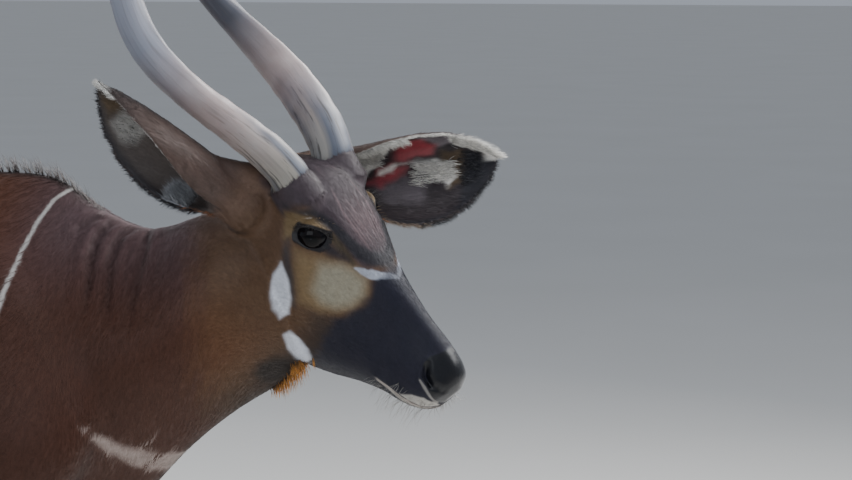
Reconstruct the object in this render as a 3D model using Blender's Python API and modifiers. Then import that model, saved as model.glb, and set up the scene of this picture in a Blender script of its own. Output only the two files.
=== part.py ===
"""Bongo antelope standing with its head level with its withers, life size.

Metres, +Z up, +X towards the head and +Y towards the animal's left. The origin is on the
floor below the middle of the bounding box. Trunk, neck, head and legs are lofts through
sections of named sizes, melted into one skin and parted with thin cuts. Eyes, horns, ears,
tail and hooves are set on it, and the bristles of the crest and tail are tapered locks.
"""

import math
import random

import bmesh
import bpy
import numpy as np
from mathutils import Matrix, Vector

# Driving sizes, in metres and degrees. X is measured from the withers until the last step
MIDDLE_X = -0.2524
MIDDLE_Y = 0.0161
GAP = 0.0003

HEAD_AT = Vector((0.478, 0.0204, 1.068))
HEAD_TURN, HEAD_DIP, HEAD_TILT = 3.0, 49.0, 20.0

# Parts of the head, in its own frame: x to the nose, y to the left, z out of the forehead
EYE_AT = (-0.0464, 0.0511, -0.0166)
EYE_AIM, EYE_CORNER = (0.25, 0.88, 0.40), (1.0, 0.0, -0.10)
EYE_RADIUS, EYE_POINTS = 0.0215, 18
LID_LENGTH, LID_HEIGHT = 0.0212, 0.0116
# How far the skin stands from the eyeball, at shares of the lids' opening
LID_AT, LID_REACH = (0.0, 0.85, 1.05, 1.30, 1.60), (-0.0060, -0.0040, 0.0024, 0.0036, 0.0026)
LID_FADE = (0.026, 0.042)
NOSTRIL = ((0.163, 0.0330, -0.0200), (0.174, 0.0330, -0.0290), (0.187, 0.0270, -0.0315),
           (0.196, 0.0210, -0.0290))
MOUTH = ((0.140, 0.0430, -0.0910), (0.160, 0.0420, -0.0850), (0.180, 0.0380, -0.0815),
         (0.198, 0.0270, -0.0745), (0.210, 0.0120, -0.0680), (0.214, 0.0, -0.0660))

FACE_FROM, HEAD_MIDDLE = -0.140, -0.075
# Swells and hollows of the face: middle on the left side, radius and how far they stand out
FACE_FORMS = (
    ((-0.034, 0.066, 0.010), 0.024, 0.0045),
    ((-0.040, 0.068, -0.120), 0.050, 0.0050),
    ((0.000, 0.062, -0.062), 0.022, 0.0030),
    ((0.050, 0.052, -0.100), 0.035, -0.0040),
    ((-0.090, 0.072, -0.040), 0.022, -0.0030),
)
# Grooves of the face: their line, half width and depth, and the half width and height of the rims
FACE_GROOVES = ((NOSTRIL, 0.0042, 0.0085, 0.011, 0.0028), (MOUTH, 0.0036, 0.0052, 0.010, 0.0016))

# Skin: size of the cells it is melted at, rounds of smoothing, and triangles left
BODY_CELL, BODY_ROUNDS, BODY_FACES = 0.0085, 4, 4000
HEAD_CELL, HEAD_ROUNDS, HEAD_FACES = 0.0030, 5, 3900
# Trunk smoothed further, rising over the first span of heights and fading out over the span of x
SOFT_HEIGHT, SOFT_AHEAD, SOFT_ROUNDS = (0.50, 0.70), (0.12, 0.24), 26

TRUNK_RING, NECK_RING, HEAD_RING, LEG_RING = 0.050, 0.030, 0.010, 0.030
TRUNK_POINTS, LEG_POINTS = 36, 20
TRUNK_SQUARE, HEAD_SQUARE, LEG_SQUARE = 2.2, 2.6, 2.1

# Sections of the trunk from the buttock to the base of the neck: the top x and z, the bottom
# x and z, and the half width at the top, a quarter down, half way, three quarters and the bottom
TRUNK = (
    ((-1.036, 1.062), (-1.046, 0.935), (0.024, 0.032, 0.035, 0.030, 0.022)),
    ((-1.022, 1.090), (-1.046, 0.860), (0.044, 0.064, 0.070, 0.060, 0.042)),
    ((-0.985, 1.122), (-1.020, 0.760), (0.076, 0.106, 0.116, 0.096, 0.060)),
    ((-0.905, 1.155), (-0.950, 0.690), (0.096, 0.148, 0.160, 0.140, 0.086)),
    ((-0.780, 1.170), (-0.820, 0.655), (0.100, 0.170, 0.190, 0.170, 0.100)),
    ((-0.620, 1.158), (-0.640, 0.640), (0.092, 0.175, 0.212, 0.200, 0.120)),
    ((-0.450, 1.140), (-0.450, 0.606), (0.085, 0.170, 0.226, 0.226, 0.136)),
    ((-0.280, 1.134), (-0.270, 0.590), (0.078, 0.162, 0.226, 0.228, 0.136)),
    ((-0.130, 1.141), (-0.110, 0.590), (0.062, 0.144, 0.208, 0.206, 0.120)),
    ((-0.020, 1.147), (0.025, 0.606), (0.054, 0.124, 0.184, 0.176, 0.095)),
    ((0.050, 1.138), (0.118, 0.652), (0.050, 0.110, 0.158, 0.148, 0.080)),
    ((0.107, 1.102), (0.182, 0.735), (0.050, 0.096, 0.132, 0.122, 0.074)),
)
# The neck goes on from the last trunk section. Its tops and bottoms leave the middle plane
NECK = (
    ((0.107, 0.000, 1.102), (0.182, 0.000, 0.735), (0.050, 0.096, 0.132, 0.122, 0.074)),
    ((0.170, 0.000, 1.078), (0.235, 0.003, 0.790), (0.050, 0.088, 0.116, 0.106, 0.066)),
    ((0.235, 0.004, 1.092), (0.293, 0.014, 0.838), (0.050, 0.082, 0.102, 0.094, 0.058)),
    ((0.285, 0.012, 1.112), (0.345, 0.034, 0.874), (0.046, 0.078, 0.092, 0.084, 0.046)),
    ((0.325, 0.018, 1.120), (0.382, 0.048, 0.902), (0.038, 0.068, 0.080, 0.066, 0.034)),
    ((0.355, 0.022, 1.125), (0.402, 0.058, 0.932), (0.026, 0.048, 0.060, 0.048, 0.024)),
)
# Head sections: x, top z, bottom z and the half widths as above
HEAD = (
    (-0.184, -0.072, -0.104, (0.012, 0.020, 0.024, 0.020, 0.012)),
    (-0.176, -0.054, -0.122, (0.026, 0.040, 0.046, 0.042, 0.028)),
    (-0.158, -0.026, -0.144, (0.046, 0.060, 0.066, 0.060, 0.040)),
    (-0.130, 0.006, -0.166, (0.060, 0.070, 0.075, 0.070, 0.044)),
    (-0.095, 0.027, -0.204, (0.072, 0.077, 0.078, 0.070, 0.036)),
    (-0.060, 0.026, -0.224, (0.083, 0.086, 0.080, 0.066, 0.030)),
    (-0.028, 0.021, -0.231, (0.083, 0.086, 0.078, 0.062, 0.027)),
    (0.010, 0.014, -0.228, (0.066, 0.074, 0.072, 0.057, 0.025)),
    (0.050, 0.007, -0.211, (0.045, 0.057, 0.062, 0.050, 0.024)),
    (0.090, 0.003, -0.181, (0.032, 0.043, 0.052, 0.044, 0.024)),
    (0.125, 0.000, -0.147, (0.026, 0.037, 0.046, 0.041, 0.026)),
    (0.155, -0.001, -0.124, (0.025, 0.036, 0.043, 0.039, 0.027)),
    (0.178, -0.003, -0.112, (0.024, 0.036, 0.042, 0.038, 0.027)),
    (0.196, -0.008, -0.100, (0.022, 0.033, 0.037, 0.033, 0.024)),
    (0.208, -0.017, -0.088, (0.018, 0.026, 0.029, 0.026, 0.018)),
    (0.216, -0.032, -0.074, (0.008, 0.013, 0.014, 0.012, 0.008)),
)
# Legs: height, middle x, half length fore and aft, middle y and half width
FRONT_LEG = (
    (1.060, -0.030, 0.050, 0.062, 0.022),
    (1.010, -0.020, 0.092, 0.086, 0.046),
    (0.920, 0.015, 0.126, 0.111, 0.068),
    (0.820, 0.040, 0.126, 0.124, 0.076),
    (0.730, 0.010, 0.106, 0.130, 0.072),
    (0.650, -0.034, 0.088, 0.130, 0.062),
    (0.580, -0.042, 0.068, 0.127, 0.051),
    (0.510, -0.038, 0.052, 0.123, 0.042),
    (0.440, -0.034, 0.041, 0.120, 0.035),
    (0.385, -0.030, 0.035, 0.118, 0.032),
    (0.338, -0.025, 0.038, 0.118, 0.036),
    (0.295, -0.027, 0.032, 0.118, 0.030),
    (0.245, -0.030, 0.025, 0.118, 0.0225),
    (0.165, -0.030, 0.0235, 0.118, 0.0215),
    (0.122, -0.029, 0.030, 0.118, 0.027),
    (0.090, -0.018, 0.027, 0.118, 0.026),
    (0.060, -0.004, 0.031, 0.118, 0.031),
    (0.030, 0.004, 0.034, 0.118, 0.032),
)
HIND_LEG = (
    (1.120, -0.850, 0.080, 0.060, 0.030),
    (1.060, -0.860, 0.135, 0.084, 0.058),
    (0.960, -0.865, 0.160, 0.108, 0.076),
    (0.860, -0.848, 0.166, 0.122, 0.080),
    (0.760, -0.826, 0.152, 0.128, 0.074),
    (0.670, -0.838, 0.118, 0.126, 0.062),
    (0.590, -0.872, 0.082, 0.122, 0.050),
    (0.520, -0.912, 0.058, 0.118, 0.039),
    (0.465, -0.944, 0.047, 0.116, 0.032),
    (0.420, -0.957, 0.045, 0.115, 0.032),
    (0.370, -0.950, 0.036, 0.115, 0.029),
    (0.300, -0.940, 0.028, 0.115, 0.0235),
    (0.185, -0.930, 0.0255, 0.115, 0.0225),
    (0.126, -0.923, 0.031, 0.115, 0.027),
    (0.092, -0.909, 0.028, 0.115, 0.026),
    (0.060, -0.894, 0.031, 0.115, 0.031),
    (0.030, -0.886, 0.034, 0.115, 0.032),
)
# Swells and hollows of the body: middle on the left side, radius and how far they stand out
BODY_FORMS = (
    ((0.000, 0.150, 0.990), 0.100, 0.005),
    ((0.130, 0.130, 0.790), 0.060, 0.010),
    ((0.040, 0.185, 0.800), 0.070, 0.008),
    ((-0.125, 0.210, 0.830), 0.075, -0.012),
    ((-0.055, 0.150, 1.060), 0.060, -0.006),
    ((-0.610, 0.205, 0.985), 0.090, -0.014),
    ((-0.700, 0.165, 1.085), 0.050, 0.009),
    ((-0.700, 0.185, 0.735), 0.060, 0.012),
    ((-0.610, 0.190, 0.700), 0.060, -0.012),
    ((-0.840, 0.190, 0.900), 0.110, 0.008),
    ((-0.960, 0.100, 0.980), 0.055, 0.008),
    ((-0.930, 0.170, 0.760), 0.070, -0.008),
    ((0.100, 0.120, 0.930), 0.060, -0.008),
)
# Heel tendon of the hind leg: x, y, z and radius down to the point of the hock
TENDON = (
    (-0.905, 0.124, 0.640, 0.020), (-0.952, 0.118, 0.555, 0.015), (-0.990, 0.116, 0.490, 0.015),
    (-1.002, 0.115, 0.452, 0.017), (-0.985, 0.115, 0.405, 0.014), (-0.966, 0.115, 0.340, 0.012),
)
TENDON_POINTS = 12
# Small claws behind each fetlock: back and out from its middle, height and radius
DEWCLAW = (0.036, 0.015, 0.104, 0.0125)
# How far each foot is fore or aft of where it hangs straight, from this height down
FRONT_STEP = {"left": -0.040, "right": 0.025}
HIND_STEP = {"left": 0.030, "right": -0.040}
STEP_FROM = 0.80

# Cuts between the nodes. A cut through a limb rises outwards by its slope
NECK_CUT = ((0.150, 0.0, 0.930), (0.978, 0.0, 0.208))
HEAD_CUT = ((0.270, 0.0, 1.130), (0.97, 0.05, 0.20))
LIMB_CUT = {"front": (-0.030, 0.055, 0.655), "hind": (-0.870, 0.044, 0.700)}
LIMB_CUT_LONG = {"front": 0.210, "hind": 0.360}
LIMB_CUT_SLOPE = 24.0
HOOF_TOP, HOOF_TOP_SLOPE = 0.056, 22.0

# Claws of a hoof: height, how far the claw reaches forward and back, and its inner and outer sides
CLAW = (
    (0.0000, 0.052, -0.037, 0.0025, 0.0375),
    (0.0120, 0.050, -0.038, 0.0022, 0.0370),
    (0.0280, 0.043, -0.037, 0.0020, 0.0350),
    (0.0440, 0.034, -0.035, 0.0020, 0.0330),
    (0.0800, 0.016, -0.030, 0.0020, 0.0290),
)
CLAW_POINTS = 12

# Horns: points along the left one in the head frame, and its radius at shares of its length
HORN = (
    (-0.104, 0.034, -0.040), (-0.117, 0.044, 0.004), (-0.153, 0.055, 0.013), (-0.190, 0.065, 0.011),
    (-0.227, 0.074, 0.006), (-0.264, 0.081, -0.001), (-0.303, 0.084, -0.007), (-0.342, 0.084, -0.011),
    (-0.382, 0.079, -0.010), (-0.422, 0.069, -0.002), (-0.463, 0.060, 0.014), (-0.510, 0.056, 0.041),
    (-0.568, 0.062, 0.084), (-0.627, 0.077, 0.130), (-0.688, 0.096, 0.174), (-0.752, 0.110, 0.212),
)
HORN_SHARES = (0.0, 0.10, 0.22, 0.35, 0.50, 0.65, 0.80, 0.92, 1.0)
HORN_RADII = (0.0275, 0.0268, 0.0240, 0.0212, 0.0178, 0.0142, 0.0102, 0.0062, 0.0022)
HORN_RINGS, HORN_POINTS = 24, 10
HORN_TURNS, HORN_KEEL, KEEL_WIDTH = 1.0, 0.16, 0.55

# Bony stump that each horn grows from, and its radii
STUMP = ((-0.060, 0.036, -0.026), (-0.088, 0.042, -0.004), (-0.117, 0.046, 0.002))
STUMP_RADII, STUMP_POINTS = (0.024, 0.034, 0.030), 20

# Ears: root, the way the ear points and the way its cup opens, in the head frame
EARS = {
    "right": ((-0.141, -0.074, -0.061), (-0.941, -0.312, -0.130), (0.337, -0.844, -0.418)),
    "left": ((-0.137, 0.077, -0.072), (0.553, 0.656, 0.505), (0.294, -0.748, 0.589)),
}
EAR_INSIDE = (-0.110, 0.020, -0.080)
EAR_LENGTH = {"right": 0.227, "left": 0.257}
EAR_SPREAD = {"right": 1.10, "left": 1.0}
EAR_CURL = {"right": 1.06, "left": 1.0}
EAR_SAG = {"right": -0.026, "left": 0.014}
EAR_BOW, EAR_DEEP = 0.010, 0.85
EAR_SHARES = (0.0, 0.12, 0.25, 0.40, 0.55, 0.70, 0.84, 0.94, 1.0)
EAR_RADII = (0.028, 0.032, 0.041, 0.052, 0.060, 0.060, 0.048, 0.028, 0.009)
EAR_ANGLES = (160, 146, 122, 98, 82, 72, 64, 56, 50)
EAR_THICK = 0.0055
EAR_STEPS, EAR_ACROSS = 22, 18
EAR_ROUNDS, EAR_FACES = 2, 760
# Stalk of an ear: places along the ear from its root, after one inside the head, and its radii
STALK_AT, STALK_RADII, STALK_POINTS = (-0.012, 0.022, 0.048), (0.038, 0.036, 0.027, 0.012), 20

# Tail: points down its middle and its radii
TAIL = ((-0.985, 0.0, 1.050), (-1.035, 0.0, 1.052), (-1.072, 0.002, 1.010), (-1.084, 0.004, 0.930),
        (-1.086, 0.005, 0.840), (-1.082, 0.005, 0.750), (-1.078, 0.004, 0.680), (-1.075, 0.003, 0.620))
TAIL_RADII = (0.028, 0.027, 0.022, 0.017, 0.014, 0.012, 0.011, 0.008)
TAIL_RING, TAIL_POINTS = 0.055, 9
TUFT_LOCKS, TUFT_TOP, TUFT_SPAN, TUFT_TURN = 12, 0.700, 0.085, 2.4
TUFT_LENGTH, TUFT_WIDTH, TUFT_THICK = 0.190, 0.026, 0.010

# Crest of bristles from the base of the neck to the rump
CREST_FROM, CREST_TO, CREST_STEP = 0.085, -0.945, 0.027
CREST_LENGTH, CREST_WIDTH, CREST_THICK = 0.052, 0.034, 0.010
CREST_ROOT, CREST_ASIDE = 0.012, 0.0035

# Fringe of the throat: where its middle row starts and ends
FRINGE_FROM, FRINGE_TO, FRINGE_COUNT = (0.345, 0.034, 0.884), (0.392, 0.050, 0.922), 3
FRINGE_LENGTH, FRINGE_WIDTH, FRINGE_THICK, FRINGE_ASIDE = 0.048, 0.024, 0.008, 0.018

# Colours, linear, and roughness
COAT, DARK_COAT = (0.130, 0.036, 0.014), (0.022, 0.012, 0.009)
HORN_COLOUR, HOOF_COLOUR = (0.300, 0.250, 0.200), (0.012, 0.011, 0.010)
EYE_COLOUR = (0.010, 0.007, 0.006)


def clear_scene():
    for obj in list(bpy.data.objects):
        bpy.data.objects.remove(obj)


def turned(yaw, pitch, roll):
    """Head frame to body frame: turn to the left, dip of the nose, tilt about the nose."""
    return (
        Matrix.Rotation(math.radians(yaw), 4, "Z")
        @ Matrix.Rotation(math.radians(pitch), 4, "Y")
        @ Matrix.Rotation(math.radians(roll), 4, "X")
    )


HEAD_FRAME = Matrix.Translation(HEAD_AT) @ turned(HEAD_TURN, HEAD_DIP, HEAD_TILT)


def unit(v):
    v = np.array(v, float)
    return v / np.linalg.norm(v)


def smooth_rows(rows, spacing):
    """Rows of numbers made closer along a curve through them. The first three are a place."""
    rows = np.array(rows, float)
    step = np.linalg.norm(np.diff(rows[:, :3], axis=0), axis=1)
    at = np.concatenate([[0.0], np.cumsum(step)])
    slope = np.gradient(rows, at, axis=0)
    made = [rows[0]]
    for i in range(len(rows) - 1):
        parts = max(1, round(step[i] / spacing))
        for k in range(1, parts + 1):
            t = k / parts
            h00, h10 = 2 * t**3 - 3 * t**2 + 1, t**3 - 2 * t**2 + t
            h01, h11 = 3 * t**2 - 2 * t**3, t**3 - t**2
            row = h00 * rows[i] + h01 * rows[i + 1]
            made.append(row + step[i] * (h10 * slope[i] + h11 * slope[i + 1]))
    return np.array(made)


def section_ring(row, points, square):
    """Points round a section: row is its middle, half its height as a vector and 5 half widths."""
    middle, half, widths = row[:3], row[3:6], row[6:11]
    ring = []
    for k in range(points):
        angle = 2 * math.pi * k / points
        up = math.copysign(abs(math.cos(angle)) ** (2 / square), math.cos(angle))
        out = math.copysign(abs(math.sin(angle)) ** (2 / square), math.sin(angle))
        width = np.interp(2 * (1 - up), range(5), widths)
        ring.append(middle + half * up + np.array((0.0, width * out, 0.0)))
    return ring


def mesh_object(name, verts, faces):
    mesh = bpy.data.meshes.new(name)
    mesh.from_pydata([tuple(v) for v in verts], [], faces)
    bm = bmesh.new()
    bm.from_mesh(mesh)
    bmesh.ops.recalc_face_normals(bm, faces=bm.faces)
    bm.to_mesh(mesh)
    bm.free()
    obj = bpy.data.objects.new(name, mesh)
    bpy.context.scene.collection.objects.link(obj)
    return obj


def loft(name, rings):
    """A closed surface through the rings, with a fan at each end."""
    points = len(rings[0])
    verts = [p for ring in rings for p in ring]
    faces = []
    for i in range(len(rings) - 1):
        for k in range(points):
            n = (k + 1) % points
            faces.append((i * points + k, i * points + n, (i + 1) * points + n, (i + 1) * points + k))
    for ring, start in ((rings[0], 0), (rings[-1], (len(rings) - 1) * points)):
        centre = len(verts)
        verts.append(np.mean(ring, axis=0))
        for k in range(points):
            faces.append((start + k, start + (k + 1) % points, centre))
    return mesh_object(name, verts, faces)


def tube(name, path, radii, points, keel=0.0, turns=0.0):
    """A closed tube along a path. A keel is a ridge that turns about the path on its way."""
    path = np.array(path, float)
    rings = []
    side = None
    for i, at in enumerate(path):
        ahead = unit(path[min(i + 1, len(path) - 1)] - path[max(i - 1, 0)])
        if side is None:
            side = np.cross(ahead, (0.0, 0.0, 1.0) if abs(ahead[2]) < 0.9 else (1.0, 0.0, 0.0))
        side = unit(side - ahead * side.dot(ahead))
        up = np.cross(ahead, side)
        turn = 2 * math.pi * turns * i / (len(path) - 1)
        ring = []
        for k in range(points):
            angle = 2 * math.pi * k / points
            ridge = bell(math.remainder(angle - turn, 2 * math.pi), KEEL_WIDTH)
            ridge += 0.6 * bell(math.remainder(angle - turn - math.pi, 2 * math.pi), KEEL_WIDTH)
            radius = radii[i] * (1 - keel / 2 + keel * 1.6 * ridge)
            ring.append(at + radius * (side * math.cos(angle) + up * math.sin(angle)))
        rings.append(ring)
    return loft(name, rings)


def section_row(top, bottom, widths):
    top, bottom = np.array(top, float), np.array(bottom, float)
    return np.concatenate([(top + bottom) / 2, (top - bottom) / 2, widths])


def section_loft(name, rows, spacing, points, square):
    return loft(name, [section_ring(row, points, square) for row in smooth_rows(rows, spacing)])


def trunk_loft():
    rows = [section_row((t[0], 0, t[1]), (b[0], 0, b[1]), w) for t, b, w in TRUNK]
    return section_loft("trunk_core", rows, TRUNK_RING, TRUNK_POINTS, TRUNK_SQUARE)


def neck_loft():
    rows = [section_row(t, b, w) for t, b, w in NECK]
    return section_loft("neck_core", rows, NECK_RING, TRUNK_POINTS, TRUNK_SQUARE)


def head_loft():
    rows = [section_row((x, 0, top), (x, 0, low), w) for x, top, low, w in HEAD]
    obj = section_loft("head_core", rows, HEAD_RING, TRUNK_POINTS, HEAD_SQUARE)
    obj.data.transform(HEAD_FRAME)
    return obj


def stump(side):
    path = np.array(STUMP) * (1, 1 if side == "left" else -1, 1)
    obj = tube("stump", path, STUMP_RADII, STUMP_POINTS)
    obj.data.transform(HEAD_FRAME)
    return obj


def foot_x(x, z, step):
    return x + step * max(0.0, 1 - z / STEP_FROM)


def leg_loft(name, table, side, step):
    sign = 1 if side == "left" else -1
    rows = []
    for z, x, length, y, width in table:
        middle = (foot_x(x, z, step), sign * y, z)
        rows.append(np.concatenate([middle, (length, 0, 0), [width] * 5]))
    return section_loft(name, rows, LEG_RING, LEG_POINTS, LEG_SQUARE)


def tendon(side):
    rows = np.array(TENDON)
    rows[:, 0] = [foot_x(x, z, HIND_STEP[side]) for x, z in rows[:, [0, 2]]]
    rows[:, 1] *= 1 if side == "left" else -1
    rows = smooth_rows(rows, LEG_RING)
    return tube("tendon", rows[:, :3], rows[:, 3], TENDON_POINTS)


def dewclaws(table, side, step):
    back, out, height, radius = DEWCLAW
    _, x, _, y, _ = min(table, key=lambda row: abs(row[0] - height))
    middle = Vector((foot_x(x, height, step) - back, y if side == "left" else -y, height))
    made = []
    for sign in (-1, 1):
        bpy.ops.mesh.primitive_uv_sphere_add(segments=12, ring_count=8, radius=radius)
        obj = bpy.context.object
        obj.data.transform(Matrix.Translation(middle + Vector((0, sign * out, 0))))
        made.append(obj)
    return made


def merged(name, pieces):
    """One object holding the meshes of the pieces, which are removed."""
    bm = bmesh.new()
    for piece in pieces:
        bm.from_mesh(piece.data)
        bpy.data.objects.remove(piece)
    mesh = bpy.data.meshes.new(name)
    bm.to_mesh(mesh)
    bm.free()
    obj = bpy.data.objects.new(name, mesh)
    bpy.context.scene.collection.objects.link(obj)
    return obj


def apply_modifiers(obj):
    depsgraph = bpy.context.evaluated_depsgraph_get()
    mesh = bpy.data.meshes.new_from_object(obj.evaluated_get(depsgraph))
    obj.modifiers.clear()
    obj.data = mesh


def melt(obj, cell, rounds):
    """The pieces of a mesh made one skin."""
    remesh = obj.modifiers.new("melt", "REMESH")
    remesh.mode = "VOXEL"
    remesh.voxel_size = cell
    smooth = obj.modifiers.new("smooth", "SMOOTH")
    smooth.factor = 0.5
    smooth.iterations = rounds
    apply_modifiers(obj)


def thin_out(obj, faces):
    """Fewer triangles on the same shape."""
    obj.data.calc_loop_triangles()
    decimate = obj.modifiers.new("thin", "DECIMATE")
    decimate.ratio = faces / len(obj.data.loop_triangles)
    decimate.use_collapse_triangulate = True
    apply_modifiers(obj)


def coordinates(mesh):
    flat = np.empty(len(mesh.vertices) * 3)
    mesh.vertices.foreach_get("co", flat)
    return flat.reshape(-1, 3)


def to_frame(points, frame):
    """World points in the axes of a frame."""
    back = np.array(frame.inverted())
    return points @ back[:3, :3].T + back[:3, 3]


def from_frame(points, frame):
    there = np.array(frame)
    return points @ there[:3, :3].T + there[:3, 3]


def bell(distance, radius):
    return np.exp(-((distance / radius) ** 2))


def line_distance(points, line):
    """How far points are from a line of places."""
    best = np.full(len(points), np.inf)
    for a, b in zip(line[:-1], line[1:]):
        a, b = np.array(a), np.array(b)
        t = np.clip((points - a) @ (b - a) / ((b - a) @ (b - a)), 0, 1)
        best = np.minimum(best, np.linalg.norm(points - a - t[:, None] * (b - a), axis=1))
    return best


def eye_axes():
    """The way the eye looks, the way to its front corner, and the way to the upper lid."""
    aim = unit(EYE_AIM)
    ahead = unit(np.array(EYE_CORNER) - aim * aim.dot(EYE_CORNER))
    return aim, ahead, np.cross(ahead, aim)


def shape_face(points):
    """Brow, eye socket with its lids, cheek, nostrils and mouth line, on head frame points."""
    side = np.where(points[:, 1] >= 0, 1.0, -1.0)
    p = points.copy()
    p[:, 1] = abs(p[:, 1])
    out = p - (0.0, 0.0, HEAD_MIDDLE)
    out[:, 0] = 0.0
    out /= np.linalg.norm(out, axis=1)[:, None] + 1e-9
    amount = np.zeros(len(p))
    for at, radius, height in FACE_FORMS:
        amount += height * bell(np.linalg.norm(p - at, axis=1), radius)
    for line, width, depth, rim_width, rim in FACE_GROOVES:
        away = line_distance(p, line)
        amount += rim * bell(away, rim_width) - depth * bell(away, width)
    p += out * amount[:, None]
    # Round the eye the skin lies at a set distance from the eye's centre
    aim, ahead, over = eye_axes()
    q = p - np.array(EYE_AT)
    reach = np.linalg.norm(q, axis=1) + 1e-9
    u, v, w = (q @ axis / reach for axis in (ahead, over, aim))
    almond = np.sqrt((u * EYE_RADIUS / LID_LENGTH) ** 2 + (v * EYE_RADIUS / LID_HEIGHT) ** 2)
    lid = EYE_RADIUS + np.interp(almond, LID_AT, LID_REACH)
    hold = np.interp(reach, LID_FADE, (1.0, 0.0)) * np.interp(w, (0.0, 0.3), (0.0, 1.0))
    scale = 1 + hold * (lid / reach - 1)
    p = np.array(EYE_AT) + q * scale[:, None]
    p[:, 1] *= side
    return p


def shape_head(obj):
    mesh = obj.data
    points = to_frame(coordinates(mesh), HEAD_FRAME)
    face = points[:, 0] > FACE_FROM
    points[face] = shape_face(points[face])
    mesh.vertices.foreach_set("co", from_frame(points, HEAD_FRAME).ravel())
    mesh.update()


def copy_of(obj, name):
    made = bpy.data.objects.new(name, obj.data.copy())
    bpy.context.scene.collection.objects.link(made)
    return made


def largest_only(obj):
    """Drops every loose scrap or sealed hollow but the largest closed surface."""
    bm = bmesh.new()
    bm.from_mesh(obj.data)
    left = set(bm.verts)
    islands = []
    while left:
        stack = [left.pop()]
        island = set(stack)
        while stack:
            for edge in stack.pop().link_edges:
                for vert in edge.verts:
                    if vert in left:
                        left.discard(vert)
                        island.add(vert)
                        stack.append(vert)
        islands.append(island)
    islands.sort(key=len)
    bmesh.ops.delete(bm, geom=[v for island in islands[:-1] for v in island], context="VERTS")
    bm.to_mesh(obj.data)
    bm.free()


def boolean(obj, other, operation):
    """Boolean with an object or a collection, applied. What it used is removed."""
    modifier = obj.modifiers.new("join", "BOOLEAN")
    modifier.operation = operation
    if isinstance(other, bpy.types.Collection):
        modifier.operand_type = "COLLECTION"
        modifier.collection = other
        used = list(other.objects)
    else:
        modifier.object = other
        used = [other]
    apply_modifiers(obj)
    for piece in used:
        bpy.data.objects.remove(piece)


def grown(obj, distance):
    """A copy whose surface lies further out."""
    made = copy_of(obj, obj.name + "_grown")
    bm = bmesh.new()
    bm.from_mesh(made.data)
    bm.normal_update()
    for vert in bm.verts:
        vert.co += vert.normal * distance * min(2.0, vert.calc_shell_factor())
    bm.to_mesh(made.data)
    bm.free()
    return made


def half_space(name, at, normal, size=3.0):
    """A large block whose face at the given place looks along the normal."""
    bpy.ops.mesh.primitive_cube_add(size=size)
    obj = bpy.context.object
    obj.name = name
    turn = Vector(normal).to_track_quat("Z", "Y").to_matrix().to_4x4()
    obj.data.transform(Matrix.Translation(at) @ turn @ Matrix.Translation((0, 0, -size / 2)))
    return obj


def limb_block(name, end, side, extra):
    """The space that a leg's node takes up: below a sloping plane and out from an upright one."""
    x, y, z = LIMB_CUT[end]
    sign = 1 if side == "left" else -1
    bpy.ops.mesh.primitive_cube_add(size=1.0)
    obj = bpy.context.object
    obj.name = name
    wide, tall, long = 0.40, 1.0, LIMB_CUT_LONG[end]
    slope = math.tan(math.radians(LIMB_CUT_SLOPE))
    for vert in obj.data.vertices:
        px = x + math.copysign(long / 2 + extra, vert.co.x)
        outer = vert.co.y > 0
        py = y + wide if outer else y - extra
        pz = z - tall if vert.co.z < 0 else z + slope * (py - y) + extra
        vert.co = (px, sign * py, pz)
    bm = bmesh.new()
    bm.from_mesh(obj.data)
    bmesh.ops.recalc_face_normals(bm, faces=bm.faces)
    bm.to_mesh(obj.data)
    bm.free()
    return obj


def lock(root, along, bend, flat, length, width, thick, sections=4):
    """A flat tapered lock of hair: it leaves the root along one way and bends to another."""
    rings = []
    at = np.array(root, float)
    along, bend = unit(along), unit(bend)
    for i in range(sections + 1):
        t = i / sections
        ahead = unit(along * (1 - t) + bend * t)
        across = unit(np.array(flat) - ahead * ahead.dot(flat))
        up = np.cross(ahead, across)
        swell = (1 - t) ** 0.65 * (0.8 + 0.8 * t) + 0.04
        w, h = width / 2 * swell, thick / 2 * (1 - 0.85 * t)
        rings.append([at + across * w, at + up * h, at - across * w, at - up * h])
        at = at + ahead * length / sections
    return loft("lock", rings)


def shape_body(points):
    """Muscles and hollows, on points in the body's frame."""
    for at, radius, height in BODY_FORMS:
        for sign in (1, -1):
            middle = np.array(at) * (1, sign, 1)
            near = bell(np.linalg.norm(points - middle, axis=1), radius)
            points[:, 1] += sign * height * near
    return points


def soften(obj):
    """More smoothing on the trunk, where limbs grow out of it, than on the legs."""
    points = coordinates(obj.data)
    group = obj.vertex_groups.new(name="trunk")
    weight = np.interp(points[:, 2], SOFT_HEIGHT, (0.0, 1.0))
    weight *= np.interp(points[:, 0], SOFT_AHEAD, (1.0, 0.0))
    for index in np.flatnonzero(weight > 0.02):
        group.add([int(index)], float(weight[index]), "REPLACE")
    smooth = obj.modifiers.new("soften", "SMOOTH")
    smooth.factor = 0.5
    smooth.iterations = SOFT_ROUNDS
    smooth.vertex_group = "trunk"
    apply_modifiers(obj)


def fuse(obj, name, pieces):
    """Locks joined to the node that they grow from."""
    group = bpy.data.collections.new(name)
    bpy.context.scene.collection.children.link(group)
    for piece in pieces:
        bpy.context.scene.collection.objects.unlink(piece)
        group.objects.link(piece)
    boolean(obj, group, "UNION")
    bpy.data.collections.remove(group)
    largest_only(obj)


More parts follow.
